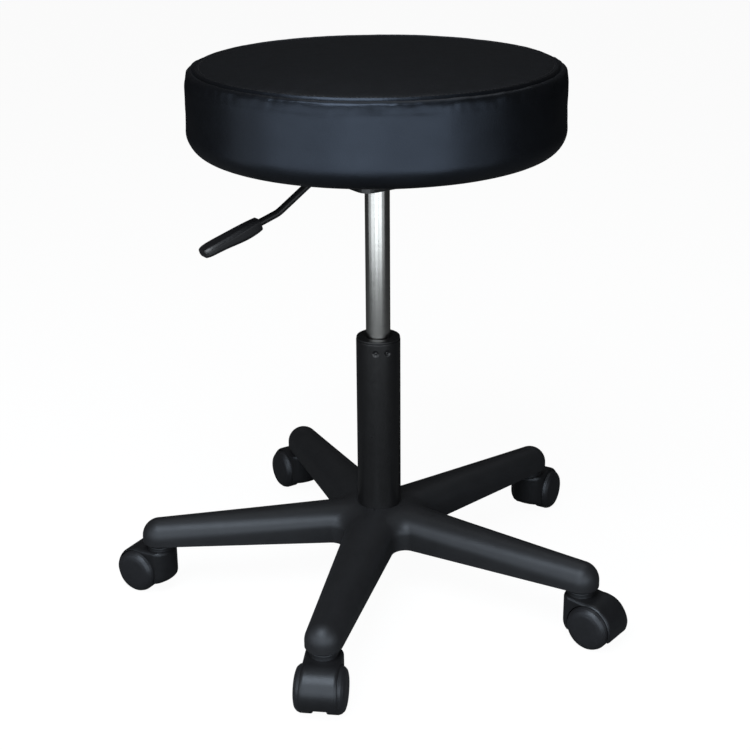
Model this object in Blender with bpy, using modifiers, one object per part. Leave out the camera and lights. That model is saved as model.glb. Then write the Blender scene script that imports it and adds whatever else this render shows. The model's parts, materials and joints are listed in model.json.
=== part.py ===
"""Adjustable swivel stool on five twin-wheel casters, shown at its full height.

Frame: metres, +Z up, origin on the floor under the middle of the column. The seat turns on
the piston rod, the gas cylinder slides in the column, and the lever presses the release pin.
"""

from math import atan2, cos, hypot, pi, radians, sin

import bmesh
import bpy
from mathutils import Matrix, Vector

# Clearances
GAP = 0.0003            # between pieces that rest on or fit in each other
SLIDE = 0.0004          # round a shaft or tube that slides or turns in a bore
EPS = 0.001             # how far a cutter runs past the face that it cuts

# Casters
WHEEL_RADIUS = 0.0250
TRAIL = 0.0220                  # from the stem's axis back to the axle
HOOD_HALF_WIDTH = 0.0200
HOOD_WALL = 0.0020
HOOD_CLEARANCE = 0.0010
HOOD_TAIL = radians(-20.0)      # where the hood ends, round the axle
WEB_HALF = 0.0068
WHEEL_INNER = 0.0076
WHEEL_OUTER = 0.0268
NOSE_REACH = 0.0165
# The nose is rounded seen from above: (distance from the middle, share of its reach).
NOSE_PLAN = ((0.0, 1.0), (0.45, 0.90), (0.75, 0.70), (0.925, 0.50), (1.0, 0.38))
NOSE_BOTTOM = 0.0140
COLLAR_RADIUS = 0.0155
COLLAR_RISE = 0.0060            # height of the collar above the hood
COLLAR_TOP = 2 * WHEEL_RADIUS + HOOD_CLEARANCE + HOOD_WALL + COLLAR_RISE
AXLE_RADIUS = 0.0030
STEM_RADIUS = 0.0055
STEM_PIVOT_RADIUS = 0.0040
STEM_LENGTH = 0.0190
STEM_FLANGE_RADIUS = 0.0085
STEM_FLANGE = 0.0020
STEM_NECK = 0.0012              # bare pivot between the collar and the flange
CASTER_TURNS = tuple(radians(a) for a in (150.0, 122.0, 60.0, 321.0, 263.0))

# Star base
ARMS = 5
FIRST_ARM = radians(185.0)      # azimuth of arm 1
STEM_CIRCLE = 0.2568            # radius on which the caster stems stand
TIP_RADIUS = 0.0200
ROOT_HALF_WIDTH = 0.0275        # half width of an arm where it leaves the hub
ROOT_AT = 0.0700                # distance from the axis at which ROOT_HALF_WIDTH holds
NOTCH_FILLET = 0.0160           # radius of the corner between two arms
BASE_WALL = 0.0032
HUB_DEPTH = 0.0385
TIP_DEPTH = 0.0270
ARM_UNDERSIDE = COLLAR_TOP + STEM_NECK + STEM_FLANGE + GAP
HUB_TOP = ARM_UNDERSIDE + HUB_DEPTH
TIP_TOP = ARM_UNDERSIDE + TIP_DEPTH
SHOULDER_DROP = 0.0205          # height of an arm's rounded top above its side walls
HUB_SLEEVE_WALL = 0.0060
STEM_BOSS_RADIUS = 0.0100
RIB_THICKNESS = 0.0025

# Column and its bearing stack
COLUMN_RADIUS = 0.0250
COLUMN_WALL = 0.0018
COLUMN_LENGTH = 0.2476
COLUMN_BELOW_ARMS = 0.0065      # how far the column reaches below the arms
COLUMN_BOTTOM = ARM_UNDERSIDE - COLUMN_BELOW_ARMS
COLUMN_TOP = COLUMN_BOTTOM + COLUMN_LENGTH
COLUMN_FLOOR = 0.0030
BUSH_LENGTH = 0.0700
BUSH_COLLAR = 0.0026
WASHER = 0.0018
BEARING_HEIGHT = 0.0034
BALLS = 7
BUMPER_HEIGHT = 0.0140
CRIMP_PAIRS = 3
CRIMP_SPREAD = radians(31.0)
FIRST_CRIMP = radians(263.0)
CRIMP_DEPTH = 0.0006
CRIMP_RADIUS = 0.0020
CRIMP_BELOW_TOP = 0.0110

# Gas spring
CYLINDER_RADIUS = 0.0140
CYLINDER_WALL = 0.0016
CYLINDER_LENGTH = 0.2863
CYLINDER_IN_COLUMN = 0.0866     # length left in the column at full height
CYLINDER_BOTTOM = COLUMN_TOP - CYLINDER_IN_COLUMN
CYLINDER_TOP = CYLINDER_BOTTOM + CYLINDER_LENGTH
TAPER_LENGTH = 0.0260
TAPER_DROP = 0.0008             # how much the cylinder's radius shrinks along its taper
TAPER_TOP_RADIUS = CYLINDER_RADIUS - TAPER_DROP
ROD_RADIUS = 0.0050
ROD_END_RADIUS = 0.0040
PISTON_HEIGHT = 0.0100
GUIDE_HEIGHT = 0.0145
PIN_RADIUS = 0.0038
PIN_HEAD_ABOVE = 0.0062
PIN_LENGTH = 0.0420

# Seat
SEAT_RADIUS = 0.2042
SEAT_ABOVE_CYLINDER = 0.0195
SEAT_BOTTOM = CYLINDER_TOP + SEAT_ABOVE_CYLINDER
SEAT_HEIGHT = 0.0908
SEAT_CROWN = 0.0050
SEAT_FLAT = 0.35                # share of the top's radius that is flat
SEAM_INSET = 0.0094
SEAM_RADIUS = SEAT_RADIUS - SEAM_INSET
LOWER_ROUND = 0.0260
UPPER_ROUND = 0.0180
COVER = 0.0012
BOARD_INSET = 0.0247
BOARD_RADIUS = SEAT_RADIUS - BOARD_INSET
BOARD_THICKNESS = 0.0120
FLAP_WIDTH = 0.0275             # how far the cover is turned in under the board
FLAP_INNER = BOARD_RADIUS - FLAP_WIDTH
DUST_OVERLAP = 0.0100
DUST_COVER_RADIUS = FLAP_INNER + DUST_OVERLAP
DUST_COVER = 0.0007

# Seat plate, its socket and its fasteners
PLATE_SIDE = 0.1640
PLATE_THICKNESS = 0.0025
PAN_SIDE = 0.1040
PAN_DEPTH = 0.0330
PAN_CORNER = 0.0120
SOCKET_WALL = 0.0038
SOCKET_LENGTH = 0.0190
BOLT_RADIUS = 0.0030
BOLT_HEAD_RADIUS = 0.0055
BOLT_HEAD = 0.0042
BOLT_INSET = 0.0130
TEE_BARREL = 0.0045
TEE_FLANGE = 0.0095
TEE_FLANGE_THICKNESS = 0.0012

# Lever
LEVER_AZIMUTH = radians(215.0)
LEVER_RADIUS = 0.0040
LEVER_FREE_PLAY = 0.0004        # between the lever and the pin that it presses
LEVER_HEIGHT = CYLINDER_TOP + PIN_HEAD_ABOVE + LEVER_FREE_PLAY + LEVER_RADIUS
PIVOT_REACH = 0.0350
PIVOT_RADIUS = 0.0017
# (distance from the axis, height, length rounded off on each side) of each bend
LEVER_BENDS = ((0.0600, LEVER_HEIGHT - 0.0011, 0.012), (0.1260, LEVER_HEIGHT - 0.0439, 0.012))
HANDLE_START = (0.1500, LEVER_HEIGHT - 0.0512)
HANDLE_END = (0.2165, LEVER_HEIGHT - 0.0719)
HANDLE_SOCKET = 0.0300
CHEEK_GAP = 0.0010
CHEEK = 0.0020

SMOOTH = radians(32.0)
FINE = 32               # sides of wide round pieces
ROUND = 16              # sides of wheels, washers and pins
COARSE = 10             # sides of bolts and small bores


# Materials

def material(name, colour, roughness, metallic=0.0):
    """A Principled material of one colour."""
    made = bpy.data.materials.new(name)
    made.use_nodes = True
    shader = made.node_tree.nodes["Principled BSDF"]
    shader.inputs["Base Color"].default_value = (*colour, 1.0)
    shader.inputs["Roughness"].default_value = roughness
    shader.inputs["Metallic"].default_value = metallic
    return made


# Building blocks

def finish(obj, mat, parent=None, origin=(0.0, 0.0, 0.0)):
    """Gives a part its material and smooth faces, and hangs it and its cutters on a parent.

    The origin is where the parent stands in the frame in which the part was drawn.
    """
    obj.data.materials.clear()
    obj.data.materials.append(mat)
    obj.data.shade_smooth()
    obj.data.set_sharp_from_angle(angle=SMOOTH)
    pieces = [obj] + [m.object for m in obj.modifiers if m.type == "BOOLEAN"]
    for piece in pieces:
        piece.parent = parent
        piece.matrix_parent_inverse = Matrix.Translation(origin).inverted()
    return obj


def mesh_object(name, bm, collection):
    """A named object made from a bmesh."""
    data = bpy.data.meshes.new(name)
    bm.to_mesh(data)
    bm.free()
    obj = bpy.data.objects.new(name, data)
    collection.objects.link(obj)
    return obj


def marker(name, place, turn=0.0, parent=None):
    """An empty that carries the pieces of one moving group."""
    empty = bpy.data.objects.new(name, None)
    empty.location = place
    empty.rotation_euler = (0.0, 0.0, turn)
    empty.parent = parent
    PARTS.objects.link(empty)
    return empty


def turned(name, profile, steps, collection, closed=True):
    """A profile of (radius, height) points turned about Z, down its outer side first."""
    bm = bmesh.new()
    points = [bm.verts.new((r, 0.0, z)) for r, z in profile]
    for first, second in zip(points, points[1:]):
        bm.edges.new((first, second))
    if closed:
        bm.edges.new((points[-1], points[0]))
    obj = mesh_object(name, bm, collection)
    screw = obj.modifiers.new("turn", "SCREW")
    screw.axis = "Z"
    screw.angle = 2 * pi
    screw.steps = steps
    screw.render_steps = steps
    screw.use_merge_vertices = True
    screw.merge_threshold = 1e-5
    screw.use_normal_calculate = False
    return obj


def tube(name, outer, inner, bottom, top, steps, collection, chamfer=0.0):
    """A straight round tube whose outer edges may be chamfered."""
    profile = [(outer - chamfer, top), (outer, top - chamfer), (outer, bottom + chamfer),
               (outer - chamfer, bottom), (inner, bottom), (inner, top)]
    if not chamfer:
        profile = [(outer, top), (outer, bottom), (inner, bottom), (inner, top)]
    return turned(name, profile, steps, collection)


def box(name, low, high, collection):
    """A box between two corners."""
    bm = bmesh.new()
    bmesh.ops.create_cube(bm, size=1.0)
    low, high = Vector(low), Vector(high)
    size = high - low
    bmesh.ops.scale(bm, vec=size, verts=bm.verts)
    bmesh.ops.translate(bm, vec=(low + high) / 2, verts=bm.verts)
    return mesh_object(name, bm, collection)


def rod(name, radius, start, end, collection, steps=COARSE):
    """A solid cylinder from one point to another."""
    start, end = Vector(start), Vector(end)
    axis = end - start
    bm = bmesh.new()
    bmesh.ops.create_cone(bm, cap_ends=True, segments=steps, radius1=radius, radius2=radius,
                          depth=axis.length)
    turn = axis.to_track_quat("Z", "Y").to_matrix().to_4x4()
    place = Matrix.Translation((start + end) / 2) @ turn
    bmesh.ops.transform(bm, matrix=place, verts=bm.verts)
    return mesh_object(name, bm, collection)


def join(obj, other, operation="UNION"):
    """Applies one Boolean to an object and hides the shape that it used."""
    boolean = obj.modifiers.new(operation.lower(), "BOOLEAN")
    boolean.operation = operation
    boolean.solver = "EXACT"
    boolean.object = other
    other.hide_render = True
    other.display_type = "WIRE"
    return boolean


def cut(obj, other):
    return join(obj, other, "DIFFERENCE")


def arc(centre, radius, start, end, count):
    """Points of an arc in a plane, both ends included."""
    step = (end - start) / count
    return [(centre[0] + radius * cos(start + i * step), centre[1] + radius * sin(start + i * step))
            for i in range(count + 1)]


# Star base

def arm_half_width(x):
    """Half the width of an arm at a distance from the axis."""
    share = (x - ROOT_AT) / (STEM_CIRCLE - ROOT_AT)
    return ROOT_HALF_WIDTH + (TIP_RADIUS - ROOT_HALF_WIDTH) * share


def ridge_height(r):
    """Height of the middle of an arm's top at a distance from the axis."""
    share = (r - COLUMN_RADIUS) / (STEM_CIRCLE - COLUMN_RADIUS)
    return HUB_TOP + (TIP_TOP - HUB_TOP) * share


def half_arm_outline():
    """(middle point, edge point) pairs over half an arm, from the notch to the tip.

    The arm lies along +X. The notch is on the line halfway to the next arm, and a fillet
    joins it to the arm's side.
    """
    half = pi / ARMS
    slope = (TIP_RADIUS - ROOT_HALF_WIDTH) / (STEM_CIRCLE - ROOT_AT)
    side_angle = atan2(slope, 1.0)
    # The side line at a distance NOTCH_FILLET outside it meets the halfway line at the centre.
    rise = NOTCH_FILLET / cos(side_angle)
    reach = (ROOT_HALF_WIDTH - slope * ROOT_AT + rise) / (sin(half) - slope * cos(half))
    centre = (reach * cos(half), reach * sin(half))
    start_radius = COLUMN_RADIUS * 0.7
    fillet = arc(centre, NOTCH_FILLET, half - pi, side_angle - pi / 2, 3)
    pairs = []
    for i, edge in enumerate(fillet):
        turn = half * (1 - i / len(fillet))
        pairs.append(((start_radius * cos(turn), start_radius * sin(turn)), edge))
    start = fillet[-1][0]
    stations = 3
    for i in range(1, stations):
        x = start + (STEM_CIRCLE - start) * i / stations
        middle = start_radius + (STEM_CIRCLE - start_radius) * i / stations
        pairs.append(((middle, 0.0), (x, arm_half_width(x))))
    tip = arc((STEM_CIRCLE, 0.0), TIP_RADIUS, pi / 2, 0.0, 3)
    pairs += [((STEM_CIRCLE, 0.0), edge) for edge in tip]
    return pairs


def arm_rings(pairs):
    """Rows of 3D points: each runs from the middle of the arm to its lower edge."""
    steps = 3
    rows = []
    for middle, edge in pairs:
        row = []
        for j in range(steps + 1):
            t = sin(j / steps * pi / 2)
            x = middle[0] + (edge[0] - middle[0]) * t
            y = middle[1] + (edge[1] - middle[1]) * t
            crown = SHOULDER_DROP * (1 - cos(j / steps * pi / 2))
            row.append((x, y, ridge_height(hypot(middle[0], middle[1])) - crown))
        row.append((edge[0], edge[1], ARM_UNDERSIDE))
        rows.append(row)
    return rows


def star_shell():
    """The open outer skin of the base, thickened inwards."""
    bm = bmesh.new()
    rows = arm_rings(half_arm_outline())
    for arm in range(ARMS):
        turn = Matrix.Rotation(FIRST_ARM + arm * 2 * pi / ARMS, 4, "Z")
        for side in (1, -1):
            grid = [[bm.verts.new(turn @ Vector((x, side * y, z))) for x, y, z in row]
                    for row in rows]
            for near, far in zip(grid, grid[1:]):
                for j in range(len(near) - 1):
                    corners = [near[j], near[j + 1], far[j + 1], far[j]]
                    bm.faces.new(corners if side < 0 else corners[::-1])
    bmesh.ops.remove_doubles(bm, verts=bm.verts, dist=1e-6)
    bmesh.ops.dissolve_degenerate(bm, dist=1e-7, edges=bm.edges)
    bmesh.ops.recalc_face_normals(bm, faces=bm.faces)
    shell = mesh_object("star_base", bm, PARTS)
    solid = shell.modifiers.new("wall", "SOLIDIFY")
    solid.thickness = BASE_WALL
    solid.offset = -1.0
    return shell


def star_base(mat):
    """The moulded base: shell, hub sleeve, ribs and a boss for each caster stem."""
    base = star_shell()
    bore = COLUMN_RADIUS + SLIDE
    join(base, rod("hub_sleeve", bore + HUB_SLEEVE_WALL, (0, 0, COLUMN_BOTTOM + 0.002),
                   (0, 0, HUB_TOP - BASE_WALL / 2), CUTTERS, FINE))
    for arm in range(ARMS):
        azimuth = FIRST_ARM + arm * 2 * pi / ARMS
        along = Vector((cos(azimuth), sin(azimuth), 0.0))
        foot = along * STEM_CIRCLE
        boss = rod(f"boss_{arm}", STEM_BOSS_RADIUS, foot + Vector((0, 0, ARM_UNDERSIDE)),
                   foot + Vector((0, 0, TIP_TOP - BASE_WALL / 2)), CUTTERS)
        join(base, boss)
        join(base, rib(arm, azimuth))
        top = ARM_UNDERSIDE + STEM_LENGTH + GAP
        hole = rod(f"stem_bore_{arm}", STEM_RADIUS + GAP, foot + Vector((0, 0, ARM_UNDERSIDE - EPS)),
                   foot + Vector((0, 0, top)), CUTTERS)
        cut(base, hole)
    seat = COLUMN_BOTTOM + 0.0080
    cut(base, rod("hub_bore", bore, (0, 0, seat - EPS), (0, 0, HUB_TOP + 0.010), CUTTERS, FINE))
    cut(base, rod("ring_bore", bore + 0.0040, (0, 0, COLUMN_BOTTOM), (0, 0, seat), CUTTERS, FINE))
    return finish(base, mat)


def rib(arm, azimuth):
    """The upright web under the middle of an arm, from the hub sleeve to the stem boss."""
    near = COLUMN_RADIUS + SLIDE + HUB_SLEEVE_WALL / 2
    far = STEM_CIRCLE - STEM_BOSS_RADIUS / 2
    floor = ARM_UNDERSIDE + 0.0020
    skin = BASE_WALL / 2
    outline = [(near, floor), (far, floor), (far, ridge_height(far) - skin),
               (near, ridge_height(near) - skin)]
    bm = bmesh.new()
    faces = [bm.faces.new([bm.verts.new((x, -RIB_THICKNESS / 2, z)) for x, z in outline])]
    grown = bmesh.ops.extrude_face_region(bm, geom=faces)
    moved = [v for v in grown["geom"] if isinstance(v, bmesh.types.BMVert)]
    bmesh.ops.translate(bm, vec=(0.0, RIB_THICKNESS, 0.0), verts=moved)
    bmesh.ops.recalc_face_normals(bm, faces=bm.faces)
    bmesh.ops.rotate(bm, matrix=Matrix.Rotation(azimuth, 3, "Z"), verts=bm.verts)
    return mesh_object(f"rib_{arm}", bm, CUTTERS)


def hub_ring(mat):
    """The steel ring pressed into the underside of the hub."""
    inner = COLUMN_RADIUS + GAP
    outer = COLUMN_RADIUS + SLIDE + 0.0040 - GAP
    ring = tube("hub_ring", outer, inner, COLUMN_BOTTOM + 0.002, COLUMN_BOTTOM + 0.0080 - GAP,
                FINE, PARTS)
    return finish(ring, mat)


# Column and bearing stack

def column_tube(mat):
    """The painted tube with an inturned floor and pairs of crimp marks near its top."""
    inner = COLUMN_RADIUS - COLUMN_WALL
    edge = 0.0008
    hole = ROD_END_RADIUS + 0.0016
    floor = COLUMN_BOTTOM + COLUMN_FLOOR
    profile = [(COLUMN_RADIUS - edge, COLUMN_TOP), (COLUMN_RADIUS, COLUMN_TOP - edge),
               (COLUMN_RADIUS, COLUMN_BOTTOM + edge), (COLUMN_RADIUS - edge, COLUMN_BOTTOM),
               (hole, COLUMN_BOTTOM), (hole, floor), (inner, floor), (inner, COLUMN_TOP)]
    column = turned("column_tube", profile, FINE, PARTS)
    height = COLUMN_TOP - CRIMP_BELOW_TOP
    for pair in range(CRIMP_PAIRS):
        for side in (0, 1):
            azimuth = FIRST_CRIMP + pair * 2 * pi / CRIMP_PAIRS + side * CRIMP_SPREAD
            along = Vector((cos(azimuth), sin(azimuth), 0.0))
            deep = along * (COLUMN_RADIUS - CRIMP_DEPTH) + Vector((0, 0, height))
            out = along * (COLUMN_RADIUS + EPS) + Vector((0, 0, height))
            cut(column, rod(f"crimp_{pair}_{side}", CRIMP_RADIUS, deep, out, CUTTERS, 10))
    return finish(column, mat)


def column_bushing(mat):
    """The plastic guide in the top of the column, with a collar over the column's rim."""
    inner = CYLINDER_RADIUS + SLIDE
    outer = COLUMN_RADIUS - COLUMN_WALL - GAP
    rim = COLUMN_TOP + GAP
    top = rim + BUSH_COLLAR
    collar = COLUMN_RADIUS - 0.0004
    edge = 0.0012
    profile = [(collar - edge, top)]
    profile += [(collar - edge + x, top - edge + y) for x, y in arc((0, 0), edge, pi / 3, 0.0, 2)]
    profile += [(collar, rim), (outer, rim), (outer, COLUMN_TOP - BUSH_LENGTH),
                (inner, COLUMN_TOP - BUSH_LENGTH), (inner, top - 0.0010), (inner + 0.0010, top)]
    return finish(turned("column_bushing", profile, FINE, PARTS), mat)


class Stack:
    """Heights of the washers, bearing and bumper on the column's floor."""

    lower = COLUMN_BOTTOM + COLUMN_FLOOR + GAP
    bearing = lower + WASHER + GAP
    upper = bearing + BEARING_HEIGHT + GAP
    bumper = upper + WASHER + GAP
    top = bumper + BUMPER_HEIGHT


def thrust_washer(name, height, bore, mat):
    """A flat steel washer on the rod."""
    outer = COLUMN_RADIUS - COLUMN_WALL - 0.0080
    return finish(tube(name, outer, bore, height, height + WASHER, ROUND, PARTS), mat)


def thrust_bearing(mat):
    """A ball cage with its balls."""
    bore = ROD_END_RADIUS + 0.0014
    outer = COLUMN_RADIUS - COLUMN_WALL - 0.0085
    middle = Stack.bearing + BEARING_HEIGHT / 2
    cage = tube("thrust_bearing", outer, bore, middle - 0.0008, middle + 0.0008, ROUND, PARTS)
    pitch = (bore + outer) / 2
    for ball in range(BALLS):
        turn = ball * 2 * pi / BALLS
        bm = bmesh.new()
        bmesh.ops.create_uvsphere(bm, u_segments=6, v_segments=5, radius=BEARING_HEIGHT / 2)
        bmesh.ops.translate(bm, vec=(pitch * cos(turn), pitch * sin(turn), middle), verts=bm.verts)
        join(cage, mesh_object(f"ball_{ball}", bm, CUTTERS))
    return finish(cage, mat)


def rubber_bumper(mat):
    """The ribbed rubber stop round the rod."""
    bore = ROD_RADIUS + SLIDE
    outer = CYLINDER_RADIUS - 0.0014
    low, high = Stack.bumper, Stack.top
    waist = outer - 0.0020
    rib_height = BUMPER_HEIGHT / 5
    profile = [(outer, high), (outer, high - rib_height), (waist, high - 2 * rib_height),
               (waist, low + 2 * rib_height), (outer, low + rib_height), (outer, low),
               (bore, low), (bore, high)]
    return finish(turned("rubber_bumper", profile, ROUND, PARTS), mat)


def piston_rod(mat):
    """The rod: a thin lower end through the floor, a shoulder, and a stepped top."""
    low = COLUMN_BOTTOM - 0.0050
    shoulder = Stack.bumper - GAP / 2
    step = piston_height()
    top = step + PISTON_HEIGHT + 0.0015
    edge = 0.0008
    profile = [(0.0, top), (ROD_END_RADIUS - edge, top), (ROD_END_RADIUS, top - edge),
               (ROD_END_RADIUS, step - GAP), (ROD_RADIUS, step - GAP), (ROD_RADIUS, shoulder),
               (ROD_END_RADIUS, shoulder), (ROD_END_RADIUS, low + edge),
               (ROD_END_RADIUS - edge, low), (0.0, low)]
    return finish(turned("piston_rod", profile, ROUND, PARTS, closed=False), mat)


def retaining_clip(mat):
    """The clip that holds the rod's end below the column's floor."""
    top = COLUMN_BOTTOM - 0.0010
    clip = tube("retaining_clip", 0.0085, ROD_END_RADIUS + GAP, top - 0.0014, top, COARSE, PARTS)
    gap = box("clip_gap", (0.0, -0.0015, top - 0.0014 - EPS), (0.012, 0.0015, top + EPS), CUTTERS)
    cut(clip, gap)
    return finish(clip, mat)


def piston_height():
    """Height of the piston's underside: just above the guide at full extension."""
    return CYLINDER_BOTTOM + 0.0030 + GAP + GUIDE_HEIGHT + 0.0010


def piston(mat):
    """The piston with its seal groove."""
    low = piston_height()
    high = low + PISTON_HEIGHT
    outer = CYLINDER_RADIUS - CYLINDER_WALL - SLIDE
    groove = 0.0010
    third = PISTON_HEIGHT / 3
    profile = [(outer, high), (outer, high - third), (outer - groove, high - third),
               (outer - groove, low + third), (outer, low + third), (outer, low),
               (ROD_END_RADIUS + GAP, low), (ROD_END_RADIUS + GAP, high)]
    return finish(turned("piston", profile, ROUND, PARTS), mat)


# Gas cylinder

def gas_cylinder(mat, parent):
    """The steel cylinder: crimped lower lip, straight body, tapered top with a pin bore."""
    inner = CYLINDER_RADIUS - CYLINDER_WALL
    bore = PIN_RADIUS + SLIDE
    lip = 0.0080
    edge = 0.0012
    inside_top = CYLINDER_TOP - 0.0080
    taper = CYLINDER_TOP - TAPER_LENGTH
    profile = [(TAPER_TOP_RADIUS - edge, CYLINDER_TOP), (TAPER_TOP_RADIUS, CYLINDER_TOP - edge),
               (CYLINDER_RADIUS, taper), (CYLINDER_RADIUS, CYLINDER_BOTTOM + edge),
               (CYLINDER_RADIUS - edge, CYLINDER_BOTTOM), (lip, CYLINDER_BOTTOM),
               (lip, CYLINDER_BOTTOM + 0.0030), (inner, CYLINDER_BOTTOM + 0.0030),
               (inner, taper), (inner - 0.0008, inside_top), (bore, inside_top),
               (bore, CYLINDER_TOP)]
    return finish(turned("gas_cylinder", profile, ROUND, PARTS), mat, parent)


def rod_guide(mat, parent):
    """The guide and seal at the cylinder's lower end."""
    low = CYLINDER_BOTTOM + 0.0030 + GAP
    outer = CYLINDER_RADIUS - CYLINDER_WALL - GAP
    guide = tube("rod_guide", outer, ROD_RADIUS + SLIDE, low, low + GUIDE_HEIGHT, ROUND, PARTS)
    return finish(guide, mat, parent)


def release_pin(mat, parent):
    """The pin in the cylinder's top that the lever presses."""
    top = CYLINDER_TOP + PIN_HEAD_ABOVE
    collar_top = CYLINDER_TOP - 0.0080 - GAP
    collar = PIN_RADIUS + 0.0022
    low = top - PIN_LENGTH
    edge = 0.0007
    profile = [(0.0, top), (PIN_RADIUS - edge, top), (PIN_RADIUS, top - edge),
               (PIN_RADIUS, collar_top), (collar, collar_top), (collar, collar_top - 0.0030),
               (PIN_RADIUS - 0.0010, collar_top - 0.0030), (PIN_RADIUS - 0.0010, low), (0.0, low)]
    return finish(turned("release_pin", profile, ROUND, PARTS, closed=False), mat, parent)


def taper_socket(mat, parent):
    """The tapered socket that grips the cylinder's top."""
    top = CYLINDER_TOP - 0.0005
    low = top - SOCKET_LENGTH
    slope = (CYLINDER_RADIUS - TAPER_TOP_RADIUS) / TAPER_LENGTH
    at_top = TAPER_TOP_RADIUS + GAP + slope * 0.0005
    at_low = at_top + slope * SOCKET_LENGTH
    outer = CYLINDER_RADIUS + SOCKET_WALL
    edge = 0.0008
    profile = [(outer - edge, top), (outer, top - edge), (outer, low + edge), (outer - edge, low),
               (at_low, low), (at_top, top)]
    return finish(turned("taper_socket", profile, ROUND, PARTS), mat, parent)


# Seat plate and lever

def plate_top():
    """Height of the seat plate's top face, under the dust cover."""
    return SEAT_BOTTOM - GAP - DUST_COVER - GAP


def pan_floor():
    """Height of the underside of the pan."""
    return plate_top() - PAN_DEPTH


def seat_plate(mat, parent):
    """The pressed steel plate: a flange round a sunk pan that holds the socket and lever."""
    high = plate_top()
    low = high - PLATE_THICKNESS
    floor = pan_floor()
    half = PLATE_SIDE / 2
    pan = PAN_SIDE / 2
    plate = box("seat_plate", (-half, -half, low), (half, half, high), PARTS)
    outer = rounded_post("pan_outer", pan, PAN_CORNER, floor, high - PLATE_THICKNESS / 2)
    join(plate, outer)
    hollow = rounded_post("pan_inner", pan - PLATE_THICKNESS, PAN_CORNER - PLATE_THICKNESS,
                          floor + PLATE_THICKNESS, high + EPS)
    cut(plate, hollow)
    for sx, sy in bolt_corners():
        x, y = sx * (half - BOLT_INSET), sy * (half - BOLT_INSET)
        hole = rod(f"flange_hole_{sx}_{sy}", BOLT_RADIUS + SLIDE, (x, y, low - EPS),
                   (x, y, high + EPS), CUTTERS)
        cut(plate, hole)
    bore = CYLINDER_RADIUS + SOCKET_WALL + GAP
    cut(plate, rod("socket_hole", bore, (0, 0, floor - EPS), (0, 0, floor + 0.006), CUTTERS, ROUND))
    slot = LEVER_RADIUS + 0.0020
    opening = LEVER_HEIGHT - LEVER_RADIUS - 0.0022
    cut(plate, box("lever_slot", (pan - 0.006, -slot, opening), (half - 0.004, slot, high + EPS),
                   CUTTERS))
    return finish(plate, mat, parent)


def rounded_post(name, half, corner, low, high):
    """An upright square block with round corners, used to shape the pan."""
    bm = bmesh.new()
    bmesh.ops.create_cube(bm, size=1.0)
    bmesh.ops.scale(bm, vec=(2 * half, 2 * half, high - low), verts=bm.verts)
    bmesh.ops.translate(bm, vec=(0, 0, (low + high) / 2), verts=bm.verts)
    upright = [e for e in bm.edges if abs(e.verts[0].co.z - e.verts[1].co.z) > 1e-6]
    bmesh.ops.bevel(bm, geom=upright, offset=corner, segments=4, profile=0.5, affect="EDGES")
    return mesh_object(name, bm, CUTTERS)


def bolt_corners():
    return [(1, 1), (-1, 1), (-1, -1), (1, -1)]


def lever_bracket(mat, parent):
    """The U-shaped bracket on the pan's floor that carries the lever's pivot."""
    floor = pan_floor() + PLATE_THICKNESS + GAP
    inside = LEVER_RADIUS + CHEEK_GAP
    outside = inside + CHEEK
    near, far = PIVOT_REACH - 0.0075, PIVOT_REACH + 0.0075
    top = LEVER_HEIGHT + 0.0060
    bracket = box("lever_bracket", (near, -outside, floor), (far, outside, top), PARTS)
    cut(bracket, box("bracket_throat", (near - EPS, -inside, floor + CHEEK),
                     (far + EPS, inside, top + EPS), CUTTERS))
    cut(bracket, rod("bracket_bore", PIVOT_RADIUS + GAP, (PIVOT_REACH, -outside - EPS, LEVER_HEIGHT),
                     (PIVOT_REACH, outside + EPS, LEVER_HEIGHT), CUTTERS))
    return finish(bracket, mat, parent)


def lever_pin(mat, parent):
    """The headed pivot pin through the bracket and the lever."""
    outside = LEVER_RADIUS + CHEEK_GAP + CHEEK + GAP
    head = 0.0012
    wide = PIVOT_RADIUS + 0.0014
    profile = [(0.0, outside + head), (wide, outside + head), (wide, outside),
               (PIVOT_RADIUS, outside), (PIVOT_RADIUS, -outside), (wide, -outside),
               (wide, -outside - head), (0.0, -outside - head)]
    pin = turned("lever_pin", profile, COARSE, PARTS, closed=False)
    pin.location = (PIVOT_REACH, 0.0, LEVER_HEIGHT)
    pin.rotation_euler = (-pi / 2, 0.0, 0.0)
    return finish(pin, mat, parent)


def lever_route():
    """Centreline points of the lever rod in its upright plane, with rounded bends."""
    corners = [Vector((x, z)) for x, z, _ in LEVER_BENDS]
    start = Vector((-PIN_RADIUS, LEVER_HEIGHT))
    entry = Vector(HANDLE_START)
    along = (Vector(HANDLE_END) - entry).normalized()
    end = entry + along * HANDLE_SOCKET
    line = [start, *corners, entry]
    points = [start]
    for i, corner in enumerate(corners):
        before = (line[i] - corner).normalized() * LEVER_BENDS[i][2]
        after = (line[i + 2] - corner).normalized() * LEVER_BENDS[i][2]
        for j in range(5):
            t = j / 4
            points.append(corner + before * (1 - t) ** 2 + after * t ** 2)
    points += [entry, end]
    return points


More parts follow.
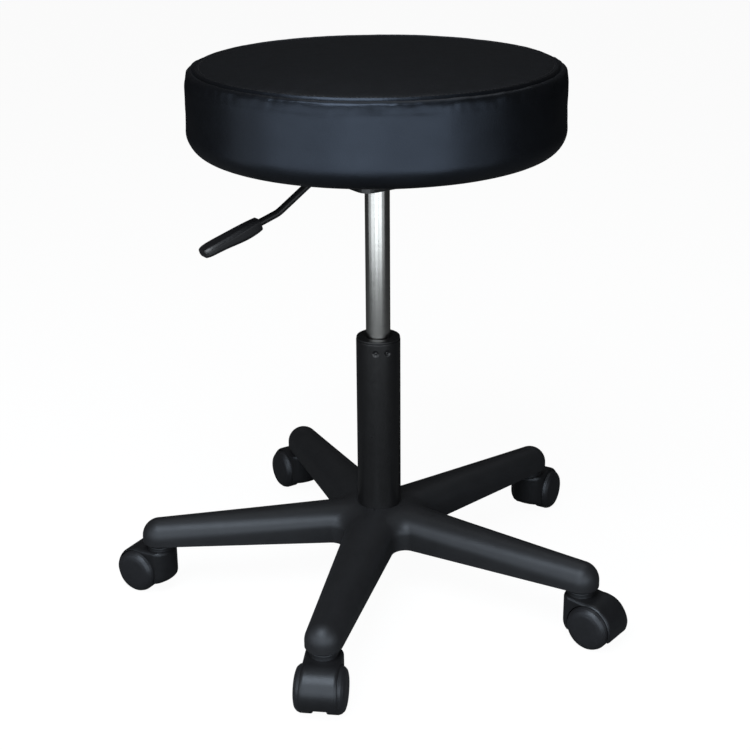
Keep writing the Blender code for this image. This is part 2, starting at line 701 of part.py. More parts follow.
def solid_from_curve(name, points, radius):
    """A mesh rod along points, with welded caps."""
    data = bpy.data.curves.new(name + "_path", "CURVE")
    data.dimensions = "3D"
    data.bevel_depth = radius
    data.bevel_resolution = 4
    data.use_fill_caps = True
    spline = data.splines.new("POLY")
    spline.points.add(len(points) - 1)
    for place, point in zip(spline.points, points):
        place.co = (point[0], 0.0, point[1], 1.0)
    path = bpy.data.objects.new(name + "_path", data)
    CUTTERS.objects.link(path)
    bpy.context.view_layer.update()
    graph = bpy.context.evaluated_depsgraph_get()
    made = bpy.data.meshes.new_from_object(path.evaluated_get(graph))
    bpy.data.objects.remove(path)
    bm = bmesh.new()
    bm.from_mesh(made)
    bmesh.ops.remove_doubles(bm, verts=bm.verts, dist=1e-6)
    bmesh.ops.recalc_face_normals(bm, faces=bm.faces)
    bpy.data.meshes.remove(made)
    return mesh_object(name, bm, PARTS)


def lever_rod(mat, parent):
    """The bent rod from the release pin to the handle, with its pivot hole."""
    lever = solid_from_curve("lever_rod", lever_route(), LEVER_RADIUS)
    reach = LEVER_RADIUS + EPS
    cut(lever, rod("lever_bore", PIVOT_RADIUS + GAP, (PIVOT_REACH, -reach, LEVER_HEIGHT),
                   (PIVOT_REACH, reach, LEVER_HEIGHT), CUTTERS))
    return finish(lever, mat, parent, (PIVOT_REACH, 0.0, LEVER_HEIGHT))


def lever_handle(mat, parent):
    """The paddle: a blade that widens to a faceted end, with a hollow under it."""
    # share of the length, half width, rise above the axis, depth below it, edge chamfer
    sections = ((0.00, 0.0064, 0.0058, 0.0062, 0.0022), (0.05, 0.0070, 0.0063, 0.0072, 0.0026),
                (0.30, 0.0082, 0.0066, 0.0082, 0.0030), (0.50, 0.0090, 0.0064, 0.0068, 0.0030),
                (0.72, 0.0098, 0.0062, 0.0050, 0.0030), (0.93, 0.0096, 0.0060, 0.0050, 0.0032),
                (1.00, 0.0072, 0.0044, 0.0038, 0.0022))
    entry, end = Vector(HANDLE_START), Vector(HANDLE_END)
    length = (end - entry).length
    bm = bmesh.new()
    rings = []
    for share, half, rise, depth, soft in sections:
        outline = [(half - soft, rise), (half, rise - soft), (half, soft - depth),
                   (half - soft, -depth), (soft - half, -depth), (-half, soft - depth),
                   (-half, rise - soft), (soft - half, rise)]
        rings.append([bm.verts.new((share * length, y, z)) for y, z in outline])
    for near, far in zip(rings, rings[1:]):
        for i in range(len(near)):
            k = (i + 1) % len(near)
            bm.faces.new((near[i], near[k], far[k], far[i]))
    bm.faces.new(rings[0])
    bm.faces.new(rings[-1])
    bmesh.ops.recalc_face_normals(bm, faces=bm.faces)
    slope = atan2(entry.y - end.y, end.x - entry.x)
    place = Matrix.Translation((entry.x, 0.0, entry.y)) @ Matrix.Rotation(slope, 4, "Y")
    bmesh.ops.transform(bm, matrix=place, verts=bm.verts)
    handle = mesh_object("lever_handle", bm, PARTS)
    along = (end - entry).normalized()
    deep = entry + along * (HANDLE_SOCKET + GAP)
    out = entry - along * EPS
    cut(handle, rod("handle_bore", LEVER_RADIUS + GAP, (out.x, 0, out.y), (deep.x, 0, deep.y),
                    CUTTERS))
    return finish(handle, mat, parent, (PIVOT_REACH, 0.0, LEVER_HEIGHT))


def board_bottom():
    """Height of the seat board's underside, above the cover's flap."""
    return SEAT_BOTTOM + COVER + GAP


def fasteners(bolt_mat, nut_mat, parent):
    """A bolt and a tee nut at each corner of the plate's flange."""
    reach = PLATE_SIDE / 2 - BOLT_INSET
    under = plate_top() - PLATE_THICKNESS - GAP
    board_top = board_bottom() + BOARD_THICKNESS
    for i, (sx, sy) in enumerate(bolt_corners(), start=1):
        tip = board_top - 0.0010
        edge = 0.0008
        profile = [(0.0, tip), (BOLT_RADIUS - edge, tip), (BOLT_RADIUS, tip - edge),
                   (BOLT_RADIUS, under), (BOLT_HEAD_RADIUS, under),
                   (BOLT_HEAD_RADIUS, under - BOLT_HEAD + edge),
                   (BOLT_HEAD_RADIUS - edge, under - BOLT_HEAD), (0.0, under - BOLT_HEAD)]
        bolt = turned(f"plate_bolt_{i}", profile, COARSE, PARTS, closed=False)
        bolt.location = (sx * reach, sy * reach, 0.0)
        finish(bolt, bolt_mat, parent)
        seat = board_top + GAP
        low = board_bottom() + 0.0010
        inner = BOLT_RADIUS + GAP
        profile = [(TEE_FLANGE, seat + TEE_FLANGE_THICKNESS), (TEE_FLANGE, seat),
                   (TEE_BARREL, seat), (TEE_BARREL, low), (inner, low),
                   (inner, seat + TEE_FLANGE_THICKNESS)]
        nut = turned(f"tee_nut_{i}", profile, COARSE, PARTS)
        nut.location = (sx * reach, sy * reach, 0.0)
        finish(nut, nut_mat, parent)


# Seat

def drilled_disc(name, radius, low, high, hole, edge, mat, parent):
    """A round sheet with a hole at each bolt."""
    profile = [(0.0, high), (radius - edge, high), (radius, high - edge), (radius, low + edge),
               (radius - edge, low), (0.0, low)]
    disc = turned(name, profile, FINE, PARTS, closed=False)
    reach = PLATE_SIDE / 2 - BOLT_INSET
    for i, (sx, sy) in enumerate(bolt_corners()):
        place = Vector((sx * reach, sy * reach, 0.0))
        bore = rod(f"{name}_hole_{i}", hole, place + Vector((0, 0, low - EPS)),
                   place + Vector((0, 0, high + EPS)), CUTTERS)
        cut(disc, bore)
    return finish(disc, mat, parent)


def seat_board(mat, parent):
    low = board_bottom()
    return drilled_disc("seat_board", BOARD_RADIUS, low, low + BOARD_THICKNESS, TEE_BARREL + GAP,
                        0.0015, mat, parent)


def dust_cover(mat, parent):
    high = SEAT_BOTTOM - GAP
    return drilled_disc("dust_cover", DUST_COVER_RADIUS, high - DUST_COVER, high,
                        BOLT_RADIUS + SLIDE, 0.0001, mat, parent)


def seat_side(inset):
    """The seat's outline from the top seam down to the flap, moved in by an inset."""
    seam = SEAT_BOTTOM + SEAT_HEIGHT
    upper = UPPER_ROUND
    lower = LOWER_ROUND
    outline = []
    lean = SEAT_RADIUS - SEAM_RADIUS
    for i in range(4):
        t = i / 3 * pi / 2
        outline.append((SEAM_RADIUS - inset + lean * sin(t), seam - inset / 2 - upper * (1 - cos(t))))
    centre = (SEAT_RADIUS - lower, SEAT_BOTTOM + lower)
    outline += arc(centre, lower - inset, 0.0, -pi / 2, 4)
    return outline


def cover_band(mat, parent):
    """The side of the cover, from the seam round the board's edge to its flap."""
    outer = seat_side(0.0)
    inner = seat_side(COVER)
    flap_top = SEAT_BOTTOM + COVER
    profile = outer + [(FLAP_INNER, SEAT_BOTTOM), (FLAP_INNER, flap_top)] + inner[::-1]
    return finish(turned("cover_band", profile, FINE, PARTS), mat, parent)


def crown_profile(radius, drop):
    """Points of the domed top, flat round the axis, out to a radius."""
    seam = SEAT_BOTTOM + SEAT_HEIGHT - drop
    points = [(0.0, seam + SEAT_CROWN)]
    for i in range(4):
        t = i / 3
        share = SEAT_FLAT + (1 - SEAT_FLAT) * t
        points.append((radius * share, seam + SEAT_CROWN * (1 - t ** 2)))
    return points


def cover_top(mat, parent):
    """The domed top panel of the cover, inside the seam."""
    radius = SEAM_RADIUS - COVER - GAP
    outer = crown_profile(radius, 0.0)
    inner = crown_profile(radius, COVER)
    return finish(turned("cover_top", outer + inner[::-1], FINE, PARTS, closed=False), mat, parent)


def seat_foam(mat, parent):
    """The foam on the board, just inside the cover."""
    gap = COVER + GAP
    low = board_bottom() + BOARD_THICKNESS + 2 * GAP + TEE_FLANGE_THICKNESS
    profile = crown_profile(SEAM_RADIUS - 0.0040, gap)
    profile += [p for p in seat_side(gap + 0.0006)[1:] if p[1] > low + 0.002]
    profile += [(profile[-1][0] - 0.0020, low), (0.0, low)]
    return finish(turned("seat_foam", profile, FINE, PARTS, closed=False), mat, parent)


# Casters

def hood_outline():
    """The caster hood from the side: stem axis at x = 0, wheels trailing to +X."""
    axle = (TRAIL, WHEEL_RADIUS)
    outer = WHEEL_RADIUS + HOOD_CLEARANCE + HOOD_WALL
    tail = HOOD_TAIL
    over = arc(axle, outer, radians(97.0), tail, 7)
    inner_tail = (axle[0] + (outer - HOOD_WALL) * cos(tail), axle[1] + (outer - HOOD_WALL) * sin(tail))
    nose = NOSE_REACH
    top = COLLAR_TOP - 0.0045
    corner = 0.0040
    low_corner = 0.0075
    outline = arc((low_corner - nose, NOSE_BOTTOM + low_corner), low_corner, -pi / 2, -pi, 4)
    outline += arc((corner - nose, top - corner), corner, pi, pi / 2, 3)
    outline += over
    outline += [inner_tail, (TRAIL, WHEEL_RADIUS - 0.0060), (0.0, NOSE_BOTTOM)]
    return outline


def caster_housing(name, mat, parent):
    """One hood over both wheels: collar, nose, crown, and the web that holds the axle."""
    bm = bmesh.new()
    half = [(HOOD_HALF_WIDTH * part, share) for part, share in NOSE_PLAN]
    rings = []
    for y, share in [(-y, share) for y, share in half[:0:-1]] + half:
        rings.append([bm.verts.new((x * share if x < 0 else x, y, z)) for x, z in hood_outline()])
    for near, far in zip(rings, rings[1:]):
        for i in range(len(near)):
            k = (i + 1) % len(near)
            bm.faces.new((near[i], near[k], far[k], far[i]))
    bm.faces.new(rings[0])
    bm.faces.new(rings[-1])
    bmesh.ops.recalc_face_normals(bm, faces=bm.faces)
    hood = mesh_object(name, bm, PARTS)
    join(hood, rod(f"{name}_collar", COLLAR_RADIUS, (0, 0, COLLAR_TOP - 0.0080), (0, 0, COLLAR_TOP),
                   CUTTERS, ROUND))
    pocket = WHEEL_RADIUS + HOOD_CLEARANCE
    for side in (-1, 1):
        cut(hood, rod(f"{name}_pocket_{side}", pocket, (TRAIL, side * WEB_HALF, WHEEL_RADIUS),
                      (TRAIL, side * (HOOD_HALF_WIDTH + EPS), WHEEL_RADIUS), CUTTERS, ROUND))
    cut(hood, rod(f"{name}_stem_bore", STEM_PIVOT_RADIUS + SLIDE, (0, 0, NOSE_BOTTOM - EPS),
                  (0, 0, COLLAR_TOP + EPS), CUTTERS))
    reach = WEB_HALF + EPS
    cut(hood, rod(f"{name}_axle_bore", AXLE_RADIUS + GAP, (TRAIL, -reach, WHEEL_RADIUS),
                  (TRAIL, reach, WHEEL_RADIUS), CUTTERS))
    return finish(hood, mat, parent)


def caster_stem(name, mat, place):
    """The steel stem: pivot below, flange, and a grooved shank in the arm's boss."""
    flange_low = ARM_UNDERSIDE - GAP - STEM_FLANGE
    top = ARM_UNDERSIDE + STEM_LENGTH
    groove = top - 0.0055
    edge = 0.0010
    profile = [(0.0, top), (STEM_RADIUS - edge, top), (STEM_RADIUS, top - edge),
               (STEM_RADIUS, groove), (STEM_RADIUS - 0.0010, groove - 0.0010),
               (STEM_RADIUS, groove - 0.0020), (STEM_RADIUS, ARM_UNDERSIDE - GAP),
               (STEM_FLANGE_RADIUS, ARM_UNDERSIDE - GAP), (STEM_FLANGE_RADIUS, flange_low),
               (STEM_PIVOT_RADIUS, flange_low), (STEM_PIVOT_RADIUS, NOSE_BOTTOM + 0.004),
               (0.0, NOSE_BOTTOM + 0.004)]
    stem = turned(name, profile, COARSE, PARTS, closed=False)
    stem.location = place
    return finish(stem, mat)


def wheel_profile():
    """A wheel's section: bore, hub, tread and domed outer face, along its axle."""
    bore = AXLE_RADIUS + SLIDE
    tread = WHEEL_RADIUS
    shoulder = HOOD_HALF_WIDTH - 0.0010
    dome = 0.0058
    outer = WHEEL_OUTER
    face = [(0.0, outer + 0.0006), (tread * 0.45, outer + 0.0003)]
    rim = [(tread - dome + dome * cos(a), outer - dome + dome * sin(a))
           for a in (radians(70.0), radians(35.0), 0.0)]
    inner = [(tread, shoulder - 0.001), (tread, WHEEL_INNER + 0.0012),
             (tread - 0.0012, WHEEL_INNER), (bore, WHEEL_INNER), (bore, outer - 0.0060),
             (0.0, outer - 0.0060)]
    return face + rim + inner


def caster_wheel(name, side, mat, parent):
    """One wheel, which turns on its half of the axle."""
    wheel = turned(name, wheel_profile(), ROUND, PARTS, closed=False)
    wheel.location = (TRAIL, 0.0, WHEEL_RADIUS)
    wheel.rotation_euler = (-side * pi / 2, 0.0, 0.0)
    return finish(wheel, mat, parent)


def caster(index, azimuth, turn, mats):
    """One caster under the tip of an arm."""
    place = (STEM_CIRCLE * cos(azimuth), STEM_CIRCLE * sin(azimuth), 0.0)
    caster_stem(f"caster_stem_{index}", mats["zinc"], place)
    swivel = marker(f"caster_axis_{index}", place, turn)
    caster_housing(f"caster_housing_{index}", mats["caster"], swivel)
    reach = WHEEL_OUTER - 0.0064
    axle = rod(f"caster_axle_{index}", AXLE_RADIUS, (TRAIL, -reach, WHEEL_RADIUS),
               (TRAIL, reach, WHEEL_RADIUS), PARTS)
    finish(axle, mats["zinc"], swivel)
    caster_wheel(f"caster_wheel_{index}_left", 1, mats["wheel"], swivel)
    caster_wheel(f"caster_wheel_{index}_right", -1, mats["wheel"], swivel)


# Assembly

def build():
    mats = {
        "base": material("moulded_nylon", (0.022, 0.024, 0.028), 0.55),
        "caster": material("caster_nylon", (0.026, 0.028, 0.033), 0.50),
        "wheel": material("wheel_nylon", (0.030, 0.033, 0.038), 0.48),
        "paint": material("black_paint", (0.012, 0.013, 0.015), 0.35),
        "bush": material("black_acetal", (0.015, 0.015, 0.017), 0.40),
        "steel": material("satin_steel", (0.60, 0.59, 0.56), 0.30, 1.0),
        "zinc": material("zinc_steel", (0.55, 0.55, 0.54), 0.35, 1.0),
        "rubber": material("black_rubber", (0.010, 0.010, 0.010), 0.80),
        "vinyl": material("black_vinyl", (0.010, 0.010, 0.012), 0.38),
        "foam": material("foam", (0.75, 0.66, 0.40), 0.95),
        "plywood": material("plywood", (0.48, 0.33, 0.18), 0.70),
        "felt": material("dust_felt", (0.012, 0.012, 0.012), 0.95),
        "handle": material("handle_plastic", (0.016, 0.017, 0.020), 0.40),
    }
    star_base(mats["base"])
    hub_ring(mats["zinc"])
    column_tube(mats["paint"])
    column_bushing(mats["bush"])
    thrust_washer("lower_thrust_washer", Stack.lower, ROD_END_RADIUS + 0.0010, mats["zinc"])
    thrust_bearing(mats["zinc"])
    thrust_washer("upper_thrust_washer", Stack.upper, ROD_END_RADIUS + 0.0010, mats["zinc"])
    rubber_bumper(mats["rubber"])
    piston_rod(mats["steel"])
    piston(mats["bush"])
    retaining_clip(mats["zinc"])
    top = marker("seat_axis", (0.0, 0.0, 0.0), LEVER_AZIMUTH)
    gas_cylinder(mats["steel"], top)
    rod_guide(mats["bush"], top)
    release_pin(mats["bush"], top)
    taper_socket(mats["paint"], top)
    seat_plate(mats["paint"], top)
    lever_bracket(mats["paint"], top)
    lever_pin(mats["zinc"], top)
    pivot = marker("lever_axis", (PIVOT_REACH, 0.0, LEVER_HEIGHT), parent=top)
    lever_rod(mats["paint"], pivot)
    lever_handle(mats["handle"], pivot)
    fasteners(mats["zinc"], mats["zinc"], top)
    seat_board(mats["plywood"], top)
    seat_foam(mats["foam"], top)
    cover_band(mats["vinyl"], top)
    cover_top(mats["vinyl"], top)
    dust_cover(mats["felt"], top)
    for i, turn in enumerate(CASTER_TURNS):
        caster(i + 1, FIRST_ARM - i * 2 * pi / ARMS, turn, mats)


for old in list(bpy.data.objects):
    bpy.data.objects.remove(old)
PARTS = bpy.data.collections.new("swivel_stool")
CUTTERS = bpy.data.collections.new("cutters")
bpy.context.scene.collection.children.link(PARTS)
bpy.context.scene.collection.children.link(CUTTERS)
build()
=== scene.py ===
"""Looks of the adjustable swivel stool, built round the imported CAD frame. Metres throughout."""

import json
from math import atan2, cos, exp, hypot, pi, radians, sin, tan

import bmesh
import bpy
from mathutils import Matrix, Vector, kdtree, noise


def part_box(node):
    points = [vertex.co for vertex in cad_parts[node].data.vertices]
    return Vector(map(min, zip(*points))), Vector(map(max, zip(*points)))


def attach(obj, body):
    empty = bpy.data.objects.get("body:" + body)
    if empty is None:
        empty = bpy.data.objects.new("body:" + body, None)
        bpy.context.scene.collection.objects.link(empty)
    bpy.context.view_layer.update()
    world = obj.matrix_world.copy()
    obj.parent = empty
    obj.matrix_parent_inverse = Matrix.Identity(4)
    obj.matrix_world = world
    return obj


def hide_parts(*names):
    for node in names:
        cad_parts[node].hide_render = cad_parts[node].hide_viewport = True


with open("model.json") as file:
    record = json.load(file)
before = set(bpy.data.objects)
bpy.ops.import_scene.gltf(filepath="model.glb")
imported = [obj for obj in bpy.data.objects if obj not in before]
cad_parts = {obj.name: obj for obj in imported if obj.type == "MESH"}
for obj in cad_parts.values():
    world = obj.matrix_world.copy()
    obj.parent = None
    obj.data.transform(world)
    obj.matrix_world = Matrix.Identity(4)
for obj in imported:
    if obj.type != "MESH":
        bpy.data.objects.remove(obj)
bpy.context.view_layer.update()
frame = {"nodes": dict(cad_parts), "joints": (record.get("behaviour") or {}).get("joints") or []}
joints = {j["name"]: j for j in frame["joints"]}
ARMS = 5
UP = Vector((0, 0, 1))
NEARLY_STRAIGHT = radians(88)
ON_AXIS = 1e-7


def reach(node):
    """Half the width of a CAD node across the column."""
    least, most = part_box(node)
    return (most.x - least.x) / 2


def low(node):
    """Height of a CAD node's underside."""
    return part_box(node)[0].z


def high(node):
    """Height of a CAD node's top."""
    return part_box(node)[1].z


# Mesh helpers

def add(name, bm, mat, body=None, nodes=(), sharp=35.0):
    """Turns a bmesh into a smooth-shaded piece that rides on a body."""
    bmesh.ops.recalc_face_normals(bm, faces=bm.faces)
    mesh = bpy.data.meshes.new(name)
    bm.to_mesh(mesh)
    bm.free()
    obj = bpy.data.objects.new(name, mesh)
    bpy.context.scene.collection.objects.link(obj)
    mesh.materials.append(mat)
    mesh.shade_smooth()
    mesh.set_sharp_from_angle(angle=radians(sharp))
    if body:
        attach(obj, body)
    if nodes:
        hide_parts(*nodes)
    return obj


def fillet(corners, steps=5, closed=False):
    """Rounds the corners of a path in a plane. Each corner is (x, z, radius)."""
    made = []
    count = len(corners)
    for i, (x, z, r) in enumerate(corners):
        here = Vector((x, z))
        if r <= 0 or (not closed and i in (0, count - 1)):
            made.append((x, z))
            continue
        a = Vector(corners[i - 1][:2]) - here
        b = Vector(corners[(i + 1) % count][:2]) - here
        a.normalize()
        b.normalize()
        half = a.angle(b) / 2
        if half > NEARLY_STRAIGHT:
            made.append((x, z))
            continue
        middle = here + (a + b).normalized() * (r / sin(half))
        start = here + a * (r / tan(half)) - middle
        end = here + b * (r / tan(half)) - middle
        for k in range(steps + 1):
            p = middle + (start.slerp(end, k / steps).normalized() * r)
            made.append((p.x, p.y))
    return made


def lathe_mesh(profile, steps, closed=False):
    """Turns a profile of (radius, height) round Z. Points on the axis become one point."""
    bm = bmesh.new()
    rows = []
    for r, z in profile:
        if r < ON_AXIS:
            rows.append([bm.verts.new((0, 0, z))])
        else:
            angles = [2 * pi * k / steps for k in range(steps)]
            rows.append([bm.verts.new((r * cos(a), r * sin(a), z)) for a in angles])
    pairs = list(zip(rows, rows[1:]))
    if closed:
        pairs.append((rows[-1], rows[0]))
    for one, two in pairs:
        for k in range(steps):
            n = (k + 1) % steps
            ring = [one[k % len(one)], one[n % len(one)], two[n % len(two)], two[k % len(two)]]
            ring = list(dict.fromkeys(ring))
            if len(ring) > 2:
                bm.faces.new(ring)
    return bm


def loft(bm, rings):
    """Joins each ring of points to the next with quads."""
    for one, two in zip(rings, rings[1:]):
        for k in range(len(one)):
            n = (k + 1) % len(one)
            bm.faces.new((one[k], one[n], two[n], two[k]))


def solid(bm):
    """A helper mesh object for a boolean."""
    bmesh.ops.recalc_face_normals(bm, faces=bm.faces)
    mesh = bpy.data.meshes.new("cutter")
    bm.to_mesh(mesh)
    bm.free()
    obj = bpy.data.objects.new("cutter", mesh)
    bpy.context.scene.collection.objects.link(obj)
    return obj


def combine(obj, others):
    """Applies (operation, helper) booleans to an object's mesh, and removes the helpers."""
    for operation, other in others:
        mod = obj.modifiers.new("b", "BOOLEAN")
        mod.object, mod.operation, mod.solver = other, operation, "EXACT"
    apply(obj)
    for _, other in others:
        bpy.data.objects.remove(other)


def apply(obj):
    """Bakes an object's modifiers into its mesh."""
    bpy.context.view_layer.update()
    graph = bpy.context.evaluated_depsgraph_get()
    mesh = bpy.data.meshes.new_from_object(obj.evaluated_get(graph))
    obj.modifiers.clear()
    obj.data = mesh


def reshade(obj, angle):
    """Smooth shading with sharp edges above an angle in degrees."""
    obj.data.shade_smooth()
    obj.data.set_sharp_from_angle(angle=radians(angle))


def rod_mesh(radius, start, end, steps=48, edge=0.0):
    """A round bar between two points, with rounded ends."""
    start, end = Vector(start), Vector(end)
    length = (end - start).length
    profile = fillet([(0, 0, 0), (radius, 0, edge), (radius, length, edge), (0, length, 0)], 4)
    bm = lathe_mesh(profile, steps)
    turn = (end - start).to_track_quat("Z", "Y").to_matrix().to_4x4()
    bmesh.ops.transform(bm, matrix=Matrix.Translation(start) @ turn, verts=bm.verts)
    return bm


def sweep(bm, points, radius, sides=10):
    """A closed round wire along points in space, added to a bmesh."""
    points = [Vector(p) for p in points]
    angles = [2 * pi * k / sides for k in range(sides)]
    rings = []
    for i, p in enumerate(points):
        along = (points[min(i + 1, len(points) - 1)] - points[max(i - 1, 0)]).normalized()
        side = along.orthogonal() if i == 0 else side - along * side.dot(along)
        side.normalize()
        over = along.cross(side)
        r = radius[i] if isinstance(radius, list) else radius
        rings.append([bm.verts.new(p + (side * cos(a) + over * sin(a)) * r) for a in angles])
    loft(bm, rings)
    bm.faces.new(rings[0][::-1])
    bm.faces.new(rings[-1])


# Materials

DIM_LIMIT = 0.02
GLOSS_SCALE = 2.7


def finish_material(name, colour, roughness, metallic=0.0, spread=0.06, mottle=0.25, scale=60.0,
                    grain=1500.0, bump=0.12, depth=0.0002, stretch=(1, 1, 1), **sockets):
    """A surface with mottled colour, uneven gloss and fine relief."""
    mat = bpy.data.materials.new(name)
    mat.use_nodes = True
    nodes, links = mat.node_tree.nodes, mat.node_tree.links
    shader = nodes["Principled BSDF"]
    place = nodes.new("ShaderNodeTexCoord")
    scaled = nodes.new("ShaderNodeMapping")
    scaled.inputs["Scale"].default_value = stretch
    links.new(place.outputs["Object"], scaled.inputs["Vector"])

    def cloud(size, detail):
        made = nodes.new("ShaderNodeTexNoise")
        made.inputs["Scale"].default_value = size
        made.inputs["Detail"].default_value = detail
        links.new(scaled.outputs["Vector"], made.inputs["Vector"])
        return made

    broad = cloud(scale, 6.0)
    tint = nodes.new("ShaderNodeMix")
    tint.data_type = "RGBA"
    tint.inputs[6].default_value = (*[c * (1 - mottle) for c in colour], 1)
    tint.inputs[7].default_value = (*[min(1, c * (1 + mottle)) for c in colour], 1)
    links.new(broad.outputs["Fac"], tint.inputs[0])
    links.new(tint.outputs[2], shader.inputs["Base Color"])
    gloss = nodes.new("ShaderNodeMapRange")
    gloss.inputs["To Min"].default_value = max(DIM_LIMIT, roughness - spread)
    gloss.inputs["To Max"].default_value = roughness + spread
    links.new(cloud(scale * GLOSS_SCALE, 4.0).outputs["Fac"], gloss.inputs["Value"])
    links.new(gloss.outputs["Result"], shader.inputs["Roughness"])
    fine = cloud(grain, 2.0)
    relief = nodes.new("ShaderNodeBump")
    relief.inputs["Strength"].default_value = bump
    relief.inputs["Distance"].default_value = depth
    links.new(fine.outputs["Fac"], relief.inputs["Height"])
    links.new(relief.outputs["Normal"], shader.inputs["Normal"])
    shader.inputs["Metallic"].default_value = metallic
    for socket, value in sockets.items():
        shader.inputs[socket.replace("_", " ")].default_value = value
    return mat


def vinyl_material():
    """Black upholstery vinyl: pebbled grain cells and a soft satin finish."""
    mat = finish_material("black_vinyl", (0.0036, 0.0037, 0.0042), 0.37, spread=0.05, mottle=0.3,
                          scale=28.0, grain=2600.0, bump=0.10, depth=0.0001,
                          Specular_IOR_Level=0.5, Specular_Tint=(0.62, 0.76, 1.0, 1.0))
    nodes, links = mat.node_tree.nodes, mat.node_tree.links
    shader = nodes["Principled BSDF"]
    place = nodes["Texture Coordinate"]
    cells = nodes.new("ShaderNodeTexVoronoi")
    cells.feature = "SMOOTH_F1"
    cells.inputs["Scale"].default_value = 620.0
    cells.inputs["Smoothness"].default_value = 0.35
    cells.inputs["Randomness"].default_value = 0.9
    links.new(place.outputs["Object"], cells.inputs["Vector"])
    pebbles = nodes.new("ShaderNodeBump")
    pebbles.invert = True
    pebbles.inputs["Strength"].default_value = 0.16
    pebbles.inputs["Distance"].default_value = 0.00025
    links.new(cells.outputs["Distance"], pebbles.inputs["Height"])
    links.new(nodes["Bump"].outputs["Normal"], pebbles.inputs["Normal"])
    links.new(pebbles.outputs["Normal"], shader.inputs["Normal"])
    return mat


# The plastics reflect the cool light slightly bluer than it is.
COOL_GLOSS = {"Specular_Tint": (0.84, 0.91, 1.0, 1.0)}

M = {
    "black_vinyl": vinyl_material(),
    "moulded_nylon": finish_material("moulded_nylon", (0.0160, 0.0160, 0.0170), 0.46, scale=45.0,
                                     grain=1800.0, bump=0.14, **COOL_GLOSS),
    "caster_nylon": finish_material("caster_nylon", (0.0110, 0.0110, 0.0118), 0.37, scale=90.0,
                                    grain=2400.0, bump=0.10, **COOL_GLOSS),
    "wheel_nylon": finish_material("wheel_nylon", (0.0160, 0.0160, 0.0175), 0.40, scale=120.0,
                                   grain=2600.0, bump=0.12, **COOL_GLOSS),
    "black_paint": finish_material("black_paint", (0.0075, 0.0075, 0.0080), 0.30, scale=70.0,
                                   grain=900.0, bump=0.07),
    "black_acetal": finish_material("black_acetal", (0.009, 0.009, 0.0095), 0.34, scale=150.0),
    "handle_plastic": finish_material("handle_plastic", (0.009, 0.009, 0.010), 0.34, scale=130.0,
                                      grain=2600.0, bump=0.10),
    "satin_steel": finish_material("satin_steel", (0.60, 0.59, 0.56), 0.20, metallic=1.0,
                                   spread=0.05, mottle=0.10, scale=26.0, grain=700.0, bump=0.05,
                                   depth=0.00005, stretch=(1, 1, 7)),
    "zinc_steel": finish_material("zinc_steel", (0.55, 0.55, 0.54), 0.30, metallic=1.0,
                                  mottle=0.15, scale=180.0),
    "black_rubber": finish_material("black_rubber", (0.012, 0.012, 0.012), 0.75, scale=200.0,
                                    bump=0.25),
    "foam": finish_material("foam", (0.72, 0.62, 0.38), 0.95, scale=300.0, grain=1400.0, bump=0.8),
    "plywood": finish_material("plywood", (0.46, 0.32, 0.17), 0.70, mottle=0.30, scale=18.0,
                               grain=500.0, bump=0.25, stretch=(1, 9, 9)),
    "dust_felt": finish_material("dust_felt", (0.013, 0.013, 0.014), 0.92, mottle=0.45,
                                 scale=420.0, grain=2200.0, bump=0.7, Sheen_Weight=0.15),
    "thread": finish_material("thread", (0.007, 0.007, 0.008), 0.55, scale=500.0, grain=3000.0,
                              bump=0.4),
}


# Cushion

SEAT_R = reach("cover_band")
SEAM_R = reach("cover_top")
SEAM_Z = high("cover_band")
CROWN_Z = high("cover_top")
SEAT_LOW = low("cover_band")
BOARD_GAP = 0.0003
BOARD_R = reach("seat_board") + BOARD_GAP
BOARD_TOP = high("seat_board") + BOARD_GAP
BOARD_LOW = low("seat_board") - BOARD_GAP
FLAP_R = 0.152
FLAP_STEP = 0.0025
FLAP_MARGIN = 0.0012
LOWER_ROUND = 0.026
UPPER_ROUND = 0.018
AROUND = 480

# The top panel: flat middle, crowned outside it, and a roll down to the seam.
FLAT_SHARE = 0.35
CROWN_LIFT = 0.0008
ROLL = 0.016
ROLL_POWER = 2.4
SEAM_DROP = 0.0028
SETTLE = 0.0016

# The cloth copy that the cushion's swell is taken from.
CLOTH_SPACING = 0.006
SHRINK = 0.0022
VOXEL = 0.0055
CLOTH_FRAMES = 20
PRESSURE = 4.0
SWELL_CAP = 0.0042
HELD_AT_SEAM = 0.0070
HELD_AT_FOOT = 0.006
SIDE_TUCK = 0.0020

# Bumps across the seam as (height, distance from the seam, width), positive on the top panel:
# the groove, the welt on each side of it, and the dip that the stitches lie in.
STITCH_LINE = 0.0066
SEAM_RELIEF = ((-0.0015, 0.0, 0.00095), (0.00050, 0.0034, 0.0022),
               (0.00070, -0.0050, 0.0036), (-0.00022, STITCH_LINE, 0.0008))


def crown(r):
    """Height of the top panel at a radius."""
    t = max(0.0, (r / SEAM_R - FLAT_SHARE) / (1 - FLAT_SHARE))
    roll = max(0.0, (r - SEAM_R + ROLL) / ROLL)
    return (CROWN_Z - (CROWN_Z - SEAM_Z) * t * t + CROWN_LIFT * (1 - roll)
            - SEAM_DROP * (1 - (1 - roll ** ROLL_POWER) ** 0.5))


